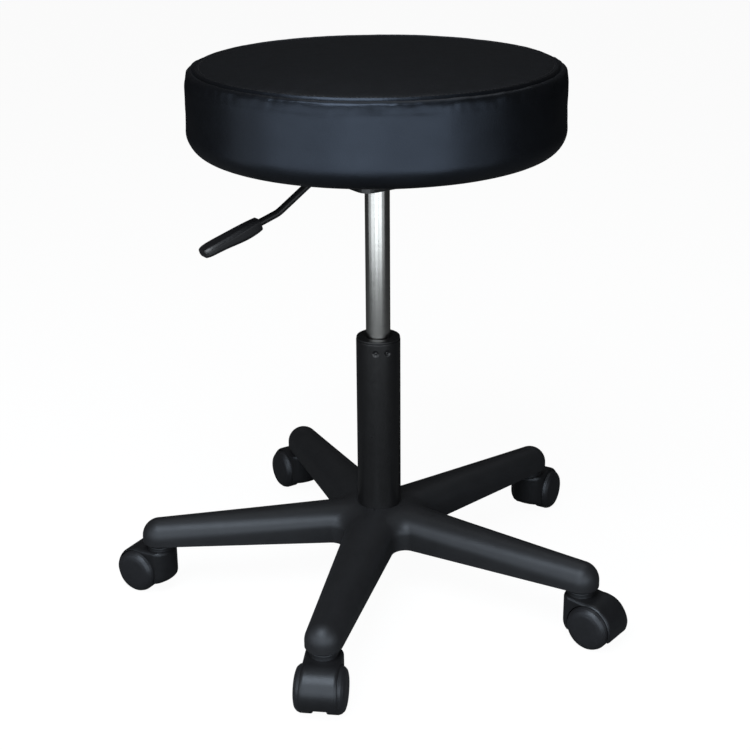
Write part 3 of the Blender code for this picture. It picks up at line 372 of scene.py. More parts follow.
def skin_path(spacing):
    """Points of the cushion's outer skin, from the middle of the top to the lower flap."""
    path = []
    r = 0.0
    while r < SEAM_R - 0.0135:
        path.append((r, crown(r)))
        r += spacing * 2.2
    fine = spacing * 0.28
    while r < SEAM_R:
        path.append((r, crown(r)))
        r += fine
    path.append((SEAM_R, SEAM_Z - SEAM_DROP))
    # The band leaves the seam on an ellipse that meets the vertical side.
    out, drop = SEAT_R - SEAM_R, UPPER_ROUND
    count = 34
    for k in range(1, count + 1):
        a = pi / 2 * (k / count) ** 1.25
        path.append((SEAM_R + out * sin(a), SEAM_Z - SEAM_DROP - drop * (1 - cos(a))))
    z = SEAM_Z - SEAM_DROP - drop
    foot = SEAT_LOW + LOWER_ROUND
    count = max(4, int((z - foot) / (spacing * 1.3)))
    path += [(SEAT_R, z + (foot - z) * k / count) for k in range(1, count)]
    count = 16
    path += [(SEAT_R - LOWER_ROUND * (1 - cos(pi / 2 * k / count)),
              foot - LOWER_ROUND * sin(pi / 2 * k / count)) for k in range(count + 1)]
    r = SEAT_R - LOWER_ROUND - FLAP_STEP
    while r > FLAP_R + FLAP_MARGIN:
        path.append((r, SEAT_LOW))
        r -= FLAP_STEP
    return path


def swell():
    """Inflates a coarse copy of the cushion as cloth, and returns its moves as (start, move)."""
    coarse = [(max(0.0, r - SHRINK * min(1.0, r / 0.05)), z - SHRINK if z > SEAT_LOW + 0.03 else z)
              for r, z in skin_path(CLOTH_SPACING)]
    blank = solid(lathe_mesh(coarse + [(0.0, SEAT_LOW)], 160))
    remesh = blank.modifiers.new("voxels", "REMESH")
    remesh.mode, remesh.voxel_size = "VOXEL", VOXEL
    apply(blank)
    rest = [v.co.copy() for v in blank.data.vertices]
    held = blank.vertex_groups.new(name="held")
    for i, p in enumerate(rest):
        r = hypot(p.x, p.y)
        at_seam = hypot(r - SEAM_R + SHRINK, p.z - SEAM_Z + SHRINK) < HELD_AT_SEAM
        if at_seam or p.z < SEAT_LOW + HELD_AT_FOOT:
            held.add([i], 1.0, "REPLACE")
    cloth = blank.modifiers.new("cloth", "CLOTH")
    fabric = cloth.settings
    fabric.quality = 6
    fabric.mass = 0.25
    fabric.tension_stiffness = fabric.compression_stiffness = 22.0
    fabric.shear_stiffness = 8.0
    fabric.bending_stiffness = 0.6
    fabric.use_pressure = True
    fabric.uniform_pressure_force = PRESSURE
    fabric.effector_weights.gravity = 0.0
    fabric.vertex_group_mass = "held"
    cloth.collision_settings.use_collision = False
    cloth.point_cache.frame_start, cloth.point_cache.frame_end = 1, CLOTH_FRAMES
    scene = bpy.context.scene
    for step in range(1, CLOTH_FRAMES + 1):
        scene.frame_set(step)
    graph = bpy.context.evaluated_depsgraph_get()
    puffed = blank.evaluated_get(graph).to_mesh()
    moves = []
    for p, v in zip(rest, puffed.vertices):
        move = v.co - p
        if move.length > SWELL_CAP:
            move *= SWELL_CAP / move.length
        moves.append((p, move))
    bpy.data.objects.remove(blank)
    scene.frame_set(1)
    return moves


def pucker(azimuth, reach_in):
    """Uneven gathers next to the seam, as a share from -1 to 1."""
    spot = Vector((cos(azimuth) * 9.0, sin(azimuth) * 9.0, reach_in * 40.0))
    small = Vector((cos(azimuth) * 31.0, sin(azimuth) * 31.0, reach_in * 90.0 + 4.0))
    return 0.65 * noise.noise(spot) + 0.5 * noise.noise(small)


def swell_at(p, tree, moves):
    """The cloth's move near a point, as a weighted mean of its nearest vertices."""
    shift, total = Vector((0, 0, 0)), 0.0
    for _, i, d in tree.find_n(p, 8):
        w = 1.0 / (d * d + 1e-6)
        shift += moves[i][1] * w
        total += w
    shift /= total
    if p.z < SEAT_LOW + 0.012:
        shift *= max(0.0, (p.z - SEAT_LOW - 0.002) / 0.010)
    return shift


def side_share(z):
    """How far a height is into the cushion's side: 0 at the seam and the foot, 1 between."""
    share = max(0.0, min(1.0, (SEAM_Z - 0.003 - z) / 0.012))
    share *= max(0.0, min(1.0, (z - SEAT_LOW) / 0.04))
    return share * share * (3 - 2 * share)


def seam_gap(r, z):
    """Distance along the skin from the seam, positive on the top panel."""
    if z < SEAM_Z - 0.045:
        return -0.05
    if z >= SEAM_Z - SEAM_DROP - 0.00001:
        return SEAM_R - r
    return -hypot(r - SEAM_R, z - SEAM_Z + SEAM_DROP)


def skin_relief(p, azimuth, gap):
    """Height of the seam, its gathers and the fabric's slack at a point of the skin."""
    lift = sum(height * exp(-((gap - at) / width) ** 2) for height, at, width in SEAM_RELIEF)
    lift += 0.0011 * pucker(azimuth, gap) * exp(-((gap + 0.0075) / 0.0085) ** 2)
    lift += 0.0007 * pucker(azimuth + 2.0, gap) * exp(-((gap - 0.013) / 0.009) ** 2)
    lift += 0.0006 * noise.noise(p * 14.0)
    if p.z < SEAM_Z - 0.006:
        lift += 0.00045 * noise.noise(Vector((azimuth * 5, p.z * 95, 7.0)))
    return lift


def cushion():
    """The upholstered seat: a closed form with its welted seam, band, flap and board recess."""
    skin = skin_path(0.0042)
    inside = [(FLAP_R, SEAT_LOW + 0.0005), (FLAP_R + 0.0004, BOARD_LOW)]
    inside += [(FLAP_R + (BOARD_R - FLAP_R) * k / 3, BOARD_LOW) for k in (1, 2, 3)]
    inside += [(BOARD_R, BOARD_TOP), (BOARD_R * 0.5, BOARD_TOP), (0.0, BOARD_TOP)]
    bm = lathe_mesh(skin + inside, AROUND)
    moves = swell()
    tree = kdtree.KDTree(len(moves))
    for i, (p, _) in enumerate(moves):
        tree.insert(p, i)
    tree.balance()
    for v in bm.verts:
        p = v.co.copy()
        r = hypot(p.x, p.y)
        azimuth = atan2(p.y, p.x)
        if r < BOARD_R + 0.0001 and SEAT_LOW + 0.0002 < p.z < SEAM_Z - 0.03:
            continue
        out = Vector((p.x, p.y, 0)).normalized() if r > 1e-6 else Vector((0, 0, 0))
        v.co += swell_at(p, tree, moves) - out * SIDE_TUCK * side_share(p.z)
        if p.z > SEAM_Z - 0.0005:
            v.co.z -= SETTLE
        gap = seam_gap(r, p.z)
        if gap > 0.006:
            face = UP
        elif gap > -0.004:
            face = (out * 0.45 + UP).normalized()
        else:
            face = (out + UP * 0.5).normalized()
        v.co += face * skin_relief(p, azimuth, gap)
        if abs(p.z - SEAT_LOW) < 1e-5 and r < SEAT_R - LOWER_ROUND:
            # Gathers of the flap where it is pulled over the board's edge.
            share = min(1.0, (SEAT_R - LOWER_ROUND - r) / 0.02)
            fold = noise.noise(Vector((azimuth * 16, 3.0, r * 20))) - 0.2
            v.co.z += 0.00045 * share * fold
    piece = add("seat_cushion", bm, M["black_vinyl"], "seat",
                ("cover_band", "cover_top", "seat_foam"), sharp=60.0)
    return piece


def stitches():
    """The line of topstitching beside the seam, one short sunk stitch after another."""
    bm = bmesh.new()
    r = SEAM_R - STITCH_LINE
    pitch, thread, proud, dip = 0.0046, 0.00036, 0.00025, 0.0005
    count = int(2 * pi * r / pitch)
    level = crown(r) - SETTLE + proud
    half = 0.34 * 2 * pi / count
    for k in range(count):
        middle = 2 * pi * (k + 0.5) / count
        points, sizes = [], []
        for t in (-1, -0.55, 0, 0.55, 1):
            a = middle + half * t
            points.append((r * cos(a), r * sin(a), level - dip * abs(t) ** 3))
            sizes.append(thread * (1 - 0.35 * abs(t) ** 3))
        sweep(bm, points, sizes, 6)
    return add("seat_topstitch", bm, M["thread"], "seat")


def dust_cover():
    """The felt sheet under the board, a little uneven, with a folded hem."""
    outer = reach("dust_cover")
    base, top = low("dust_cover"), high("dust_cover")
    edge = 0.0003
    profile = [(outer * k / 30, base) for k in range(29)]
    profile += fillet([(outer * 29 / 30, base, 0), (outer, base, edge), (outer, top, edge),
                       (outer * 29 / 30, top, 0)], 3)
    profile += [(outer * k / 10, top) for k in range(9, -1, -1)]
    bm = lathe_mesh(profile, 180)
    for v in bm.verts:
        if v.co.z < (base + top) / 2:
            r = hypot(v.co.x, v.co.y)
            sag = 0.5 + 0.5 * noise.noise(v.co * 22)
            v.co.z -= 0.00045 * sag * min(1.0, r / 0.1)
            v.co.z -= 0.0005 * exp(-((r - outer + 0.008) / 0.0012) ** 2)
    return add("seat_dust_cover", bm, M["dust_felt"], "seat", ("dust_cover",), 50.0)


def staples():
    """Wire staples round the rim of the dust cover."""
    bm = bmesh.new()
    outer = reach("dust_cover")
    z = low("dust_cover") - 0.0007
    leg, sink, wire, count = UP * 0.0012, UP * 0.0002, 0.00035, 30
    for k in range(count):
        a = 2 * pi * k / count + 0.05 * noise.noise(Vector((k * 1.7, 0.3, 0)))
        tilt = a + pi / 2 + 0.25 * noise.noise(Vector((k * 2.3, 4.1, 0)))
        middle = Vector(((outer - 0.006) * cos(a), (outer - 0.006) * sin(a), z))
        along = Vector((cos(tilt), sin(tilt), 0)) * 0.005
        sweep(bm, [middle - along + leg, middle - along, middle - along * 0.9 - sink,
                   middle + along * 0.9 - sink, middle + along, middle + along + leg], wire, 6)
    return add("seat_staples", bm, M["zinc_steel"], "seat")


cushion()
stitches()
dust_cover()
staples()


# Gas spring and column

TUBE_WALL = 0.0015
FLOOR_THICKNESS = 0.0025
ROD_HOLE = 0.0085

# Three pairs of crimp marks: where the first is, how far apart a pair's marks are, how far below
# the rim they lie, and the radius and depth of each.
FIRST_CRIMP = radians(263.0)
CRIMP_APART = radians(31.0)
CRIMP_BELOW = 0.0105
CRIMP_R = 0.0038
CRIMP_DEPTH = 0.0017


def column():
    """The painted tube, with rounded rims and pressed crimp marks near its top."""
    r = reach("column_tube")
    bottom, top = low("column_tube"), high("column_tube")
    outer = [(r - 0.0009, top), (r - 0.00035, top - 0.00015), (r, top - 0.0008)]
    outer += [(r, top - 0.0008 - 0.0004 * (k + 1)) for k in range(60)]
    z = outer[-1][1]
    outer += [(r, z + (bottom + 0.001 - z) * k / 24) for k in range(1, 25)]
    outer += [(r - 0.0003, bottom + 0.0003), (r - 0.001, bottom), (ROD_HOLE, bottom),
              (ROD_HOLE, bottom + FLOOR_THICKNESS), (r - TUBE_WALL, bottom + FLOOR_THICKNESS),
              (r - TUBE_WALL, top - 0.0003)]
    bm = lathe_mesh(outer, 288, closed=True)
    marks = [FIRST_CRIMP + pair * 2 * pi / 3 + side * CRIMP_APART
             for pair in range(3) for side in (0, 1)]
    for v in bm.verts:
        if hypot(v.co.x, v.co.y) < r - 0.0002:
            continue
        azimuth = atan2(v.co.y, v.co.x)
        for mark in marks:
            turn = (azimuth - mark + pi) % (2 * pi) - pi
            away = hypot(turn * r, v.co.z - (top - CRIMP_BELOW))
            if away < CRIMP_R:
                push = CRIMP_DEPTH * (1 - (away / CRIMP_R) ** 2) ** 1.5
                push *= 1 - 0.75 * exp(-(away / 0.0012) ** 2)
                out = Vector((v.co.x, v.co.y, 0)).normalized()
                v.co -= out * push
    return add("column_body", bm, M["black_paint"], "base", ("column_tube",), 40.0)


def bushing():
    """The plastic guide collar round the cylinder's foot."""
    inner, outer = reach("gas_cylinder") + 0.0002, reach("column_bushing")
    foot, top = low("column_bushing"), high("column_bushing")
    rim = high("column_tube") + 0.0001
    guide = reach("column_tube") - 0.0017
    profile = fillet([(inner, foot, 0.0003), (guide, foot, 0.0006), (guide, rim, 0),
                      (outer, rim, 0.0003), (outer, top, 0.0012), (inner + 0.0022, top, 0.0004),
                      (inner + 0.0016, top - 0.0008, 0.0002), (inner, top - 0.0010, 0.0002)],
                     6, True)
    return add("column_guide", lathe_mesh(profile, 144, True), M["black_acetal"], "base",
               ("column_bushing",))


def cylinder():
    """The gas spring's satin cylinder, with its rolled foot, groove and tapered top."""
    r = reach("gas_cylinder")
    foot, top = low("gas_cylinder"), high("gas_cylinder")
    taper, tip, wall, lip, mouth = 0.026, 0.0132, 0.0018, 0.0032, 0.0040
    groove, groove_depth = foot + 0.0080, 0.0006
    profile = fillet([(r - lip, foot, 0.0004), (r, foot, 0.0016), (r, groove - 0.0008, 0.0003),
                      (r - groove_depth, groove, 0.0003), (r, groove + 0.0008, 0.0003),
                      (r, top - taper, 0.0), (tip, top, 0.0008), (r - mouth, top, 0.0004),
                      (r - mouth, top - 0.004, 0.0002), (r - wall, top - 0.006, 0.0002),
                      (r - wall, foot + 0.003, 0.0002), (r - lip, foot + 0.003, 0)], 5, True)
    return add("gas_spring_body", lathe_mesh(profile, 192, True), M["satin_steel"], "seat",
               ("gas_cylinder",))


column()
bushing()
cylinder()


# Star base

TIP_R = 0.020
ROOT_HALF = 0.0275
ROOT_AT = 0.070
NOTCH = 0.016
WALL = 0.0032
SHOULDER = 0.0205
TIP_Z = 0.0895
HUB_Z = 0.1010
UNDER = max(low("star_base"), 0.0625)
RIB_HALF = 0.00125
BOSS_R = 0.0105
BOSS_DROP = 0.0040
SOCKET_R = 0.0056
SOCKET_DEPTH = 0.020
COLUMN_R = reach("column_tube")
SLEEVE = 0.006
stems = [Vector(joints[f"caster_swivel_{i}"]["pos_m"]) for i in range(1, ARMS + 1)]
STEM_CIRCLE = hypot(stems[0].x, stems[0].y)


def outline():
    """(middle, edge) pairs over half an arm along +X, from the notch between arms to the tip."""
    half = pi / ARMS
    slope = (TIP_R - ROOT_HALF) / (STEM_CIRCLE - ROOT_AT)
    side = atan2(slope, 1.0)
    rise = NOTCH / cos(side)
    far = (ROOT_HALF - slope * ROOT_AT + rise) / (sin(half) - slope * cos(half))
    centre = (far * cos(half), far * sin(half))
    near = COLUMN_R * 0.7
    pairs = []
    steps = 12
    for i in range(steps):
        a = half - pi + (side - pi / 2 - half + pi) * i / (steps - 1)
        turn = half * (1 - i / steps)
        pairs.append(((near * cos(turn), near * sin(turn)),
                      (centre[0] + NOTCH * cos(a), centre[1] + NOTCH * sin(a))))
    start = pairs[-1][1][0]
    stations = 16
    for i in range(1, stations):
        x = start + (STEM_CIRCLE - start) * i / stations
        middle = near + (STEM_CIRCLE - near) * i / stations
        width = ROOT_HALF + (TIP_R - ROOT_HALF) * (x - ROOT_AT) / (STEM_CIRCLE - ROOT_AT)
        pairs.append(((middle, 0.0), (x, width)))
    for i in range(13):
        a = pi / 2 * (1 - i / 12)
        pairs.append(((STEM_CIRCLE, 0.0), (STEM_CIRCLE + TIP_R * cos(a), TIP_R * sin(a))))
    return pairs


def ridge(r):
    """Height of an arm's top along its middle."""
    return HUB_Z + (TIP_Z - HUB_Z) * (r - COLUMN_R) / (STEM_CIRCLE - COLUMN_R)


def shell():
    """The crowned skin of all five arms, open underneath."""
    bm = bmesh.new()
    steps = 12
    for stem in stems:
        turn = Matrix.Rotation(atan2(stem.y, stem.x), 4, "Z")
        for side in (1, -1):
            grid = []
            for middle, edge in outline():
                row = []
                for j in range(steps + 1):
                    a = j / steps * pi / 2
                    t = sin(a)
                    row.append((middle[0] + (edge[0] - middle[0]) * t,
                                middle[1] + (edge[1] - middle[1]) * t,
                                ridge(hypot(*middle)) - SHOULDER * (1 - cos(a))))
                last = row[-1][2]
                row += [(edge[0], edge[1], last + (UNDER - last) * k / 3) for k in (1, 2, 3)]
                grid.append([bm.verts.new(turn @ Vector((x, side * y, z))) for x, y, z in row])
            for near, far in zip(grid, grid[1:]):
                for j in range(len(near) - 1):
                    corners = [near[j], near[j + 1], far[j + 1], far[j]]
                    bm.faces.new(corners if side < 0 else corners[::-1])
    bmesh.ops.remove_doubles(bm, verts=bm.verts, dist=2e-6)
    bmesh.ops.dissolve_degenerate(bm, dist=1e-7, edges=bm.edges)
    return bm


def rib(along, side):
    """The upright plate under the middle of an arm."""
    bm = bmesh.new()
    a, b = along * (COLUMN_R + 0.003), along * (STEM_CIRCLE - 0.005)
    ends = [a + UP * (UNDER + 0.002), b + UP * (UNDER + 0.002),
            b + UP * (ridge(b.length) - WALL / 2), a + UP * (ridge(a.length) - WALL / 2)]
    left = [bm.verts.new(p + side * RIB_HALF) for p in ends]
    right = [bm.verts.new(p - side * RIB_HALF) for p in ends]
    bm.faces.new(left)
    bm.faces.new(right[::-1])
    for i in range(4):
        k = (i + 1) % 4
        bm.faces.new((left[i], right[i], right[k], left[k]))
    return bm


def star():
    """The moulded base: a crowned shell with a hub sleeve, ribs and bosses for the stems."""
    base = add("star_base_body", shell(), M["moulded_nylon"], "base",
               ("star_base",))
    wall = base.modifiers.new("wall", "SOLIDIFY")
    wall.thickness, wall.offset = WALL, -1.0
    apply(base)
    sleeve = rod_mesh(COLUMN_R + SLEEVE, (0, 0, 0.058), (0, 0, HUB_Z - WALL / 2), 96, 0.0006)
    parts = [("UNION", solid(sleeve))]
    for foot in stems:
        spot = Vector((foot.x, foot.y, 0))
        along = spot.normalized()
        floor = spot + UP * UNDER
        for radius, top in ((BOSS_R, TIP_Z - BOSS_DROP), (0.0060, TIP_Z - WALL / 2)):
            parts.append(("UNION", solid(rod_mesh(radius, floor, spot + UP * top, 48))))
        parts.append(("UNION", solid(rib(along, Vector((-along.y, along.x, 0))))))
        socket = rod_mesh(SOCKET_R, spot + UP * (UNDER - 0.001),
                          spot + UP * (UNDER + SOCKET_DEPTH), 32)
        parts.append(("DIFFERENCE", solid(socket)))
    bore = rod_mesh(COLUMN_R + 0.0001, (0, 0, 0.050), (0, 0, 0.12), 96)
    parts.append(("DIFFERENCE", solid(bore)))
    combine(base, parts)
    reshade(base, 38)
    return base


star()


# Casters

COLLAR_TOP = high("caster_housing_1")
COLLAR_R = 0.0155
COLLAR_LOW = COLLAR_TOP - 0.008
TREAD = 0.025
HOOD_WRAP = TREAD + 0.003
HOOD_LIP = 0.002
HOOD_HALF = 0.020
HOOD_SOFT = 0.0050
HOOD_TAIL = radians(-20.0)
NOSE = 0.0165
NOSE_LOW = 0.014
NOSE_SQUARE = 0.87
WEB_HALF = 0.0068
POCKET_R = TREAD + 0.001
POCKET_OUT = 0.024
STEM_HOLE = 0.0041
AXLE_HOLE = 0.0031
WHEEL_OUTER = 0.0268
WHEEL_INNER = 0.0076


def hood_outline(trail):
    """The hood's side view, as (distance behind the stem, height)."""
    top = COLLAR_TOP - 0.0045
    first = radians(97)
    angles = [first + (HOOD_TAIL - first) * k / 26 for k in range(27)]
    arc = [(trail + HOOD_WRAP * cos(a), TREAD + HOOD_WRAP * sin(a)) for a in angles]
    small = HOOD_WRAP - HOOD_LIP
    front = fillet([(0.0, NOSE_LOW, 0), (-NOSE, NOSE_LOW, 0.0080), (-NOSE, top, 0.0050),
                    arc[0] + (0,)], 8)
    inner = [(trail + small * cos(HOOD_TAIL), TREAD + small * sin(HOOD_TAIL)),
             (trail, TREAD - 0.006)]
    return front + arc[1:] + inner


def hood_blank(trail):
    """The hood as a solid: its side view carried across, rounded at both cheeks and the nose."""
    bm = bmesh.new()
    half = [HOOD_HALF * k / 5 * 0.75 for k in range(5)]
    half += [HOOD_HALF - HOOD_SOFT + HOOD_SOFT * sin(pi / 2 * k / 7) for k in range(8)]
    heart_x, heart_z = trail * 0.6, 0.030
    rings = []
    for y in [-y for y in half[:0:-1]] + half:
        past = max(0.0, abs(y) - HOOD_HALF + HOOD_SOFT)
        pull = HOOD_SOFT - max(0.0, HOOD_SOFT ** 2 - past ** 2) ** 0.5
        share = max(0.38, (1 - (abs(y) / HOOD_HALF) ** 2 * NOSE_SQUARE) ** 0.5)
        ring = []
        for x, z in hood_outline(trail):
            arm = Vector((x - heart_x, z - heart_z))
            upper = max(0.0, min(1.0, (z - 0.026) / 0.02))
            if arm.length > 0.015:
                arm *= 1 - pull * (0.25 + 0.6 * upper) / arm.length
            x, z = arm.x + heart_x, arm.y + heart_z
            ring.append((x * share if x < 0 else x, z))
        rings.append([bm.verts.new((x, y, z)) for x, z in ring])
    loft(bm, rings)
    bm.faces.new(rings[0])
    bm.faces.new(rings[-1])
    return bm


def hood_parts(trail):
    """What is joined to and cut from a hood: collar, wheel pockets, stem hole and axle hole."""
    collar = fillet([(0, COLLAR_LOW, 0), (COLLAR_R, COLLAR_LOW, 0.0012),
                     (COLLAR_R, COLLAR_TOP, 0.0016), (0, COLLAR_TOP, 0)], 5)
    parts = [("UNION", lathe_mesh(collar, 72))]
    axle, across = Vector((trail, 0, TREAD)), Vector((0, 1, 0))
    for side in (-1, 1):
        parts.append(("DIFFERENCE", rod_mesh(POCKET_R, axle + across * side * WEB_HALF,
                                             axle + across * side * POCKET_OUT, 96)))
    parts.append(("DIFFERENCE", rod_mesh(STEM_HOLE, (0, 0, NOSE_LOW - 0.001),
                                         (0, 0, COLLAR_TOP + 0.001), 32)))
    parts.append(("DIFFERENCE", rod_mesh(AXLE_HOLE, axle - across * 0.008,
                                         axle + across * 0.008, 32)))
    return [(operation, solid(bm)) for operation, bm in parts]


def wheel_profile():
    """A wheel's section: a flush domed cap, a grooved tread and a recessed back with a hub."""
    r, out, back = TREAD, WHEEL_OUTER, WHEEL_INNER
    recess, hub = back + 0.0035, out - 0.006
    return fillet([(0.0, out + 0.0006, 0), (r * 0.30, out + 0.00055, 0.01),
                   (r * 0.66, out + 0.0001, 0.012), (r - 0.0040, out - 0.0012, 0.0040),
                   (r - 0.0012, out - 0.0042, 0.0025), (r, out - 0.0074, 0.0030),
                   (r, 0.0188, 0.0004), (r - 0.0005, 0.0184, 0.0002), (r, 0.0180, 0.0004),
                   (r, back, 0.0014), (r - 0.0045, back, 0.0006),
                   (r - 0.0060, recess, 0.0008), (0.0080, recess, 0.0008),
                   (0.0070, back, 0.0006), (AXLE_HOLE, back, 0.0002), (AXLE_HOLE, hub, 0),
                   (0, hub, 0)], 5)


def caster(i):
    """One twin-wheel caster: its hood and two wheels."""
    stem = Vector(joints[f"caster_swivel_{i}"]["pos_m"])
    hub = Vector(joints[f"wheel_roll_{i}_left"]["pos_m"])
    back = Vector((hub.x - stem.x, hub.y - stem.y, 0))
    trail = back.length
    place = (Matrix.Translation((stem.x, stem.y, 0))
             @ Matrix.Rotation(atan2(back.y, back.x), 4, "Z"))
    hood = add(f"caster_hood_{i}", hood_blank(trail), M["caster_nylon"])
    combine(hood, hood_parts(trail))
    soften = hood.modifiers.new("edges", "BEVEL")
    soften.width, soften.segments, soften.limit_method = 0.0005, 2, "ANGLE"
    soften.angle_limit = radians(40)
    apply(hood)
    hood.data.transform(place)
    reshade(hood, 42)
    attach(hood, f"caster_{i}")
    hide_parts(f"caster_housing_{i}")
    for name in ("left", "right"):
        node = f"caster_wheel_{i}_{name}"
        mid = sum(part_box(node), Vector()) / 2
        sign = 1 if (place.inverted() @ mid).y > 0 else -1
        wheel = lathe_mesh(wheel_profile(), 96)
        turn = (place @ Matrix.Translation((trail, 0, TREAD))
                @ Matrix.Rotation(-sign * pi / 2, 4, "X"))
        bmesh.ops.transform(wheel, matrix=turn, verts=wheel.verts)
        add(f"caster_roller_{i}_{name}", wheel, M["wheel_nylon"], f"wheel_{i}_{name}",
            (node,), 50.0)


for number in range(1, ARMS + 1):
    caster(number)


# Lever

LEVER_TURN = radians(215.0)
PIVOT_X, LEVER_Z, LEVER_R = 0.035, 0.5139, 0.004
PIN_HOLE = 0.0021
TAIL_X = -0.0035
BENDS = ((0.060, 0.5128), (0.126, 0.4700))
BEND_R = 0.030
ENTRY, END, SOCKET = Vector((0.150, 0.4627)), Vector((0.2165, 0.4420)), 0.030
# The handle's sections: share of its length, half width, rise, depth and corner.
PADDLE = ((0.0, 0.0066, 0.0060, 0.0066, 0.0018), (0.06, 0.0073, 0.0065, 0.0076, 0.0024),
          (0.22, 0.0082, 0.0068, 0.0086, 0.0028), (0.38, 0.0088, 0.0068, 0.0080, 0.0030),
          (0.55, 0.0094, 0.0065, 0.0064, 0.0030), (0.75, 0.0100, 0.0063, 0.0050, 0.0030),
          (0.93, 0.0098, 0.0061, 0.0050, 0.0030), (1.0, 0.0076, 0.0046, 0.0040, 0.0022))
lever_frame = Matrix.Rotation(LEVER_TURN, 4, "Z")


def lever_rod():
    """The bent rod, with the hole for its pivot pin."""
    end = ENTRY + (END - ENTRY).normalized() * SOCKET
    path = [(TAIL_X, LEVER_Z, 0)] + [(x, z, BEND_R) for x, z in BENDS]
    path += [(ENTRY.x, ENTRY.y, 0), (end.x, end.y, 0)]
    bm = bmesh.new()
    sweep(bm, [(x, 0, z) for x, z in fillet(path, 10)], LEVER_R, 28)
    rod = add("lever_bar", bm, M["black_paint"])
    hole = rod_mesh(PIN_HOLE, (PIVOT_X, -0.006, LEVER_Z), (PIVOT_X, 0.006, LEVER_Z), 24)
    combine(rod, [("DIFFERENCE", solid(hole))])
    rod.data.transform(lever_frame)
    reshade(rod, 45)
    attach(rod, "lever")
    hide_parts("lever_rod")


def lever_handle():
    """The moulded paddle on the rod's end, smoothed from eight-sided sections."""
    length = (END - ENTRY).length
    bm = bmesh.new()
    rings = []
    for share, half, rise, depth, soft in PADDLE:
        ring = [(half - soft, rise), (half, rise - soft), (half, soft - depth),
                (half - soft, -depth), (soft - half, -depth), (-half, soft - depth),
                (-half, rise - soft), (soft - half, rise)]
        rings.append([bm.verts.new((share * length, y, z)) for y, z in ring])
    loft(bm, rings)
    for face in [bm.faces.new(rings[0]), bm.faces.new(rings[-1])]:
        bmesh.ops.inset_region(bm, faces=[face], thickness=0.0012)
    bmesh.ops.recalc_face_normals(bm, faces=bm.faces)
    crease = bm.edges.layers.float.new("crease_edge")
    for edge in bm.edges:
        if len(edge.link_faces) == 2 and edge.calc_face_angle(0) > radians(28):
            edge[crease] = 0.45
    slope = atan2(ENTRY.y - END.y, END.x - ENTRY.x)
    bmesh.ops.transform(bm, matrix=lever_frame @ Matrix.Translation((ENTRY.x, 0, ENTRY.y))
                        @ Matrix.Rotation(slope, 4, "Y"), verts=bm.verts)
    handle = add("lever_paddle", bm, M["handle_plastic"], "lever",
                 ("lever_handle",), 60.0)
    smooth = handle.modifiers.new("round", "SUBSURF")
    smooth.levels = smooth.render_levels = 3
    apply(handle)
    handle.data.shade_smooth()


lever_rod()
lever_handle()


# Finishes of the CAD nodes that show as they are

FINISHES = {
    "black_paint": ("seat_plate", "taper_socket", "lever_bracket"),
    "black_acetal": ("piston", "rod_guide", "release_pin"),
    "black_rubber": ("rubber_bumper",),
    "satin_steel": ("piston_rod",),
    "plywood": ("seat_board",),
}
finish_of = {node: M[finish] for finish, group in FINISHES.items() for node in group}
for node, thing in frame["nodes"].items():
    if thing.hide_render:
        continue
    mat = finish_of.get(node, M["zinc_steel"])
    if not thing.material_slots:
        thing.data.materials.append(mat)
    for place in thing.material_slots:
        place.link = "OBJECT"
        place.material = mat


# Floor, light and camera

FLOOR_HALF = 30.0
FLOOR_GLOW = 1.06
FLOOR_GLOW_SHARE = 0.90
FLOOR_PALE, FLOOR_DIM = 0.8, 0.11
SKY_PALE, SKY_DIM = 1.0, 0.022

# The camera: its place, its pitch and roll in radians, its lens in millimetres on a 36 mm
# sensor, and the shift of its middle as a share of the picture's width.
CAMERA_AT = (0, -1.5511, 0.88167)
CAMERA_PITCH, CAMERA_ROLL = 0.3458, -0.0071
SENSOR = 36.0
LENS = 70.5888
SHIFT = (-0.004153, -0.071253)

# The panels in front, as (azimuth from -Y towards +X in degrees, watts).
COOL = (0.88, 0.94, 1.0)
PANELS = ((-70, 1.0), (-42, 2.8), (-9, 4.0), (24, 3.4), (50, 0.9))
PANEL_AWAY, PANEL_HEIGHT = 1.15, 0.44


def stage_floor():
    """A wide pale floor that the camera sees near white and the stool sees dim."""
    bm = bmesh.new()
    bmesh.ops.create_grid(bm, x_segments=2, y_segments=2, size=FLOOR_HALF)
    mesh = bpy.data.meshes.new("floor")
    bm.to_mesh(mesh)
    bm.free()
    floor = bpy.data.objects.new("floor", mesh)
    bpy.context.scene.collection.objects.link(floor)
    mat = bpy.data.materials.new("floor")
    mat.use_nodes = True
    nodes, links = mat.node_tree.nodes, mat.node_tree.links
    nodes.clear()
    out = nodes.new("ShaderNodeOutputMaterial")
    matt = nodes.new("ShaderNodeBsdfDiffuse")
    glow = nodes.new("ShaderNodeEmission")
    glow.inputs["Strength"].default_value = FLOOR_GLOW
    path = nodes.new("ShaderNodeLightPath")
    pale = nodes.new("ShaderNodeMapRange")
    pale.inputs["To Min"].default_value = FLOOR_DIM
    pale.inputs["To Max"].default_value = FLOOR_PALE
    links.new(path.outputs["Is Camera Ray"], pale.inputs["Value"])
    links.new(pale.outputs["Result"], matt.inputs["Color"])
    share = nodes.new("ShaderNodeMath")
    share.operation = "MULTIPLY"
    share.inputs[1].default_value = FLOOR_GLOW_SHARE
    links.new(path.outputs["Is Camera Ray"], share.inputs[0])
    both = nodes.new("ShaderNodeMixShader")
    links.new(share.outputs[0], both.inputs[0])
    links.new(matt.outputs[0], both.inputs[1])
    links.new(glow.outputs[0], both.inputs[2])
    links.new(both.outputs[0], out.inputs[0])
    mesh.materials.append(mat)


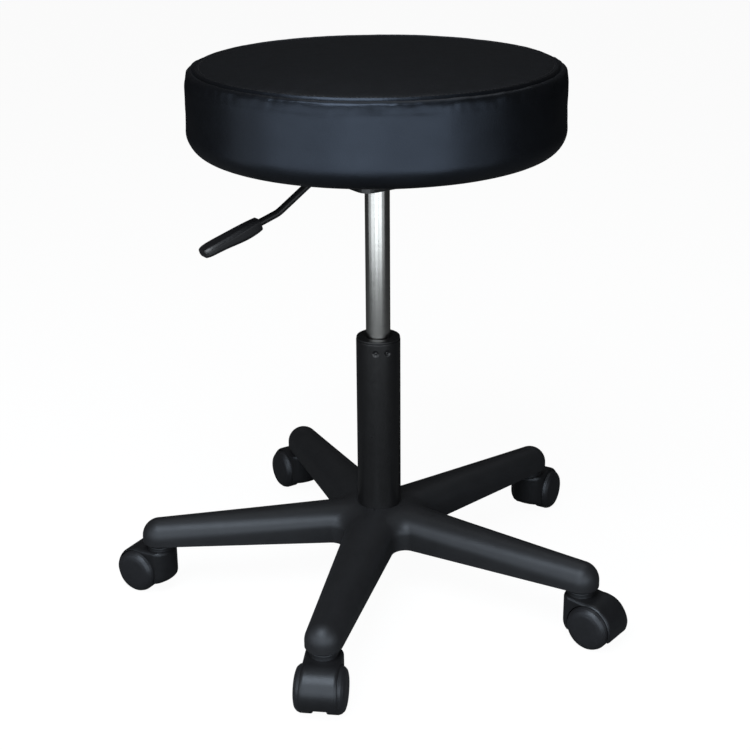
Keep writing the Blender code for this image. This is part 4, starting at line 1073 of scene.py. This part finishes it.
def softbox(name, place, aim, width, height, power, colour):
    """A rectangular light aimed at a point, which the camera doesn't see."""
    data = bpy.data.lights.new(name, "AREA")
    data.shape, data.size, data.size_y = "RECTANGLE", width, height
    data.energy, data.color = power, colour
    lamp = bpy.data.objects.new(name, data)
    bpy.context.scene.collection.objects.link(lamp)
    lamp.location = place
    lamp.rotation_mode = "QUATERNION"
    lamp.rotation_quaternion = (Vector(aim) - Vector(place)).to_track_quat("-Z", "Y")
    lamp.visible_camera = False


def sky():
    """A world that the camera sees white and the stool sees dim."""
    world = bpy.data.worlds.new("studio")
    bpy.context.scene.world = world
    world.use_nodes = True
    nodes, links = world.node_tree.nodes, world.node_tree.links
    back = nodes["Background"]
    path = nodes.new("ShaderNodeLightPath")
    level = nodes.new("ShaderNodeMapRange")
    level.inputs["To Min"].default_value = SKY_DIM
    level.inputs["To Max"].default_value = SKY_PALE
    links.new(path.outputs["Is Camera Ray"], level.inputs["Value"])
    links.new(level.outputs["Result"], back.inputs["Strength"])
    back.inputs["Color"].default_value = (1, 1, 1, 1)


def camera():
    """A camera in front of the stool, looking down, with a slight roll."""
    up = Vector((0, sin(CAMERA_PITCH), cos(CAMERA_PITCH)))
    ahead = Vector((0, cos(CAMERA_PITCH), -sin(CAMERA_PITCH)))
    right = Vector((1, 0, 0))
    right, up = (right * cos(CAMERA_ROLL) + up * sin(CAMERA_ROLL),
                 up * cos(CAMERA_ROLL) - right * sin(CAMERA_ROLL))
    data = bpy.data.cameras.new("camera")
    data.sensor_fit, data.sensor_width = "HORIZONTAL", SENSOR
    data.lens = LENS
    data.shift_x, data.shift_y = SHIFT
    view = bpy.data.objects.new("camera", data)
    bpy.context.scene.collection.objects.link(view)
    turn = Matrix((right, up, -ahead)).transposed().to_4x4()
    view.matrix_world = Matrix.Translation(CAMERA_AT) @ turn
    bpy.context.scene.camera = view


stage_floor()
for i, (azimuth, power) in enumerate(PANELS):
    a = radians(azimuth)
    softbox(f"front_panel_{i}", (PANEL_AWAY * sin(a), -PANEL_AWAY * cos(a), PANEL_HEIGHT),
            (0, 0, PANEL_HEIGHT), 0.64, 0.80, power, COOL)
softbox("key", (-0.45, -1.15, 2.1), (0, 0, 0.2), 1.5, 1.2, 34.0, COOL)
softbox("overhead", (0.2, 0.9, 2.8), (0, 0, 0), 2.0, 2.0, 10.0, (1, 1, 1))
sky()
camera()
bpy.context.scene.view_settings.view_transform = "Standard"
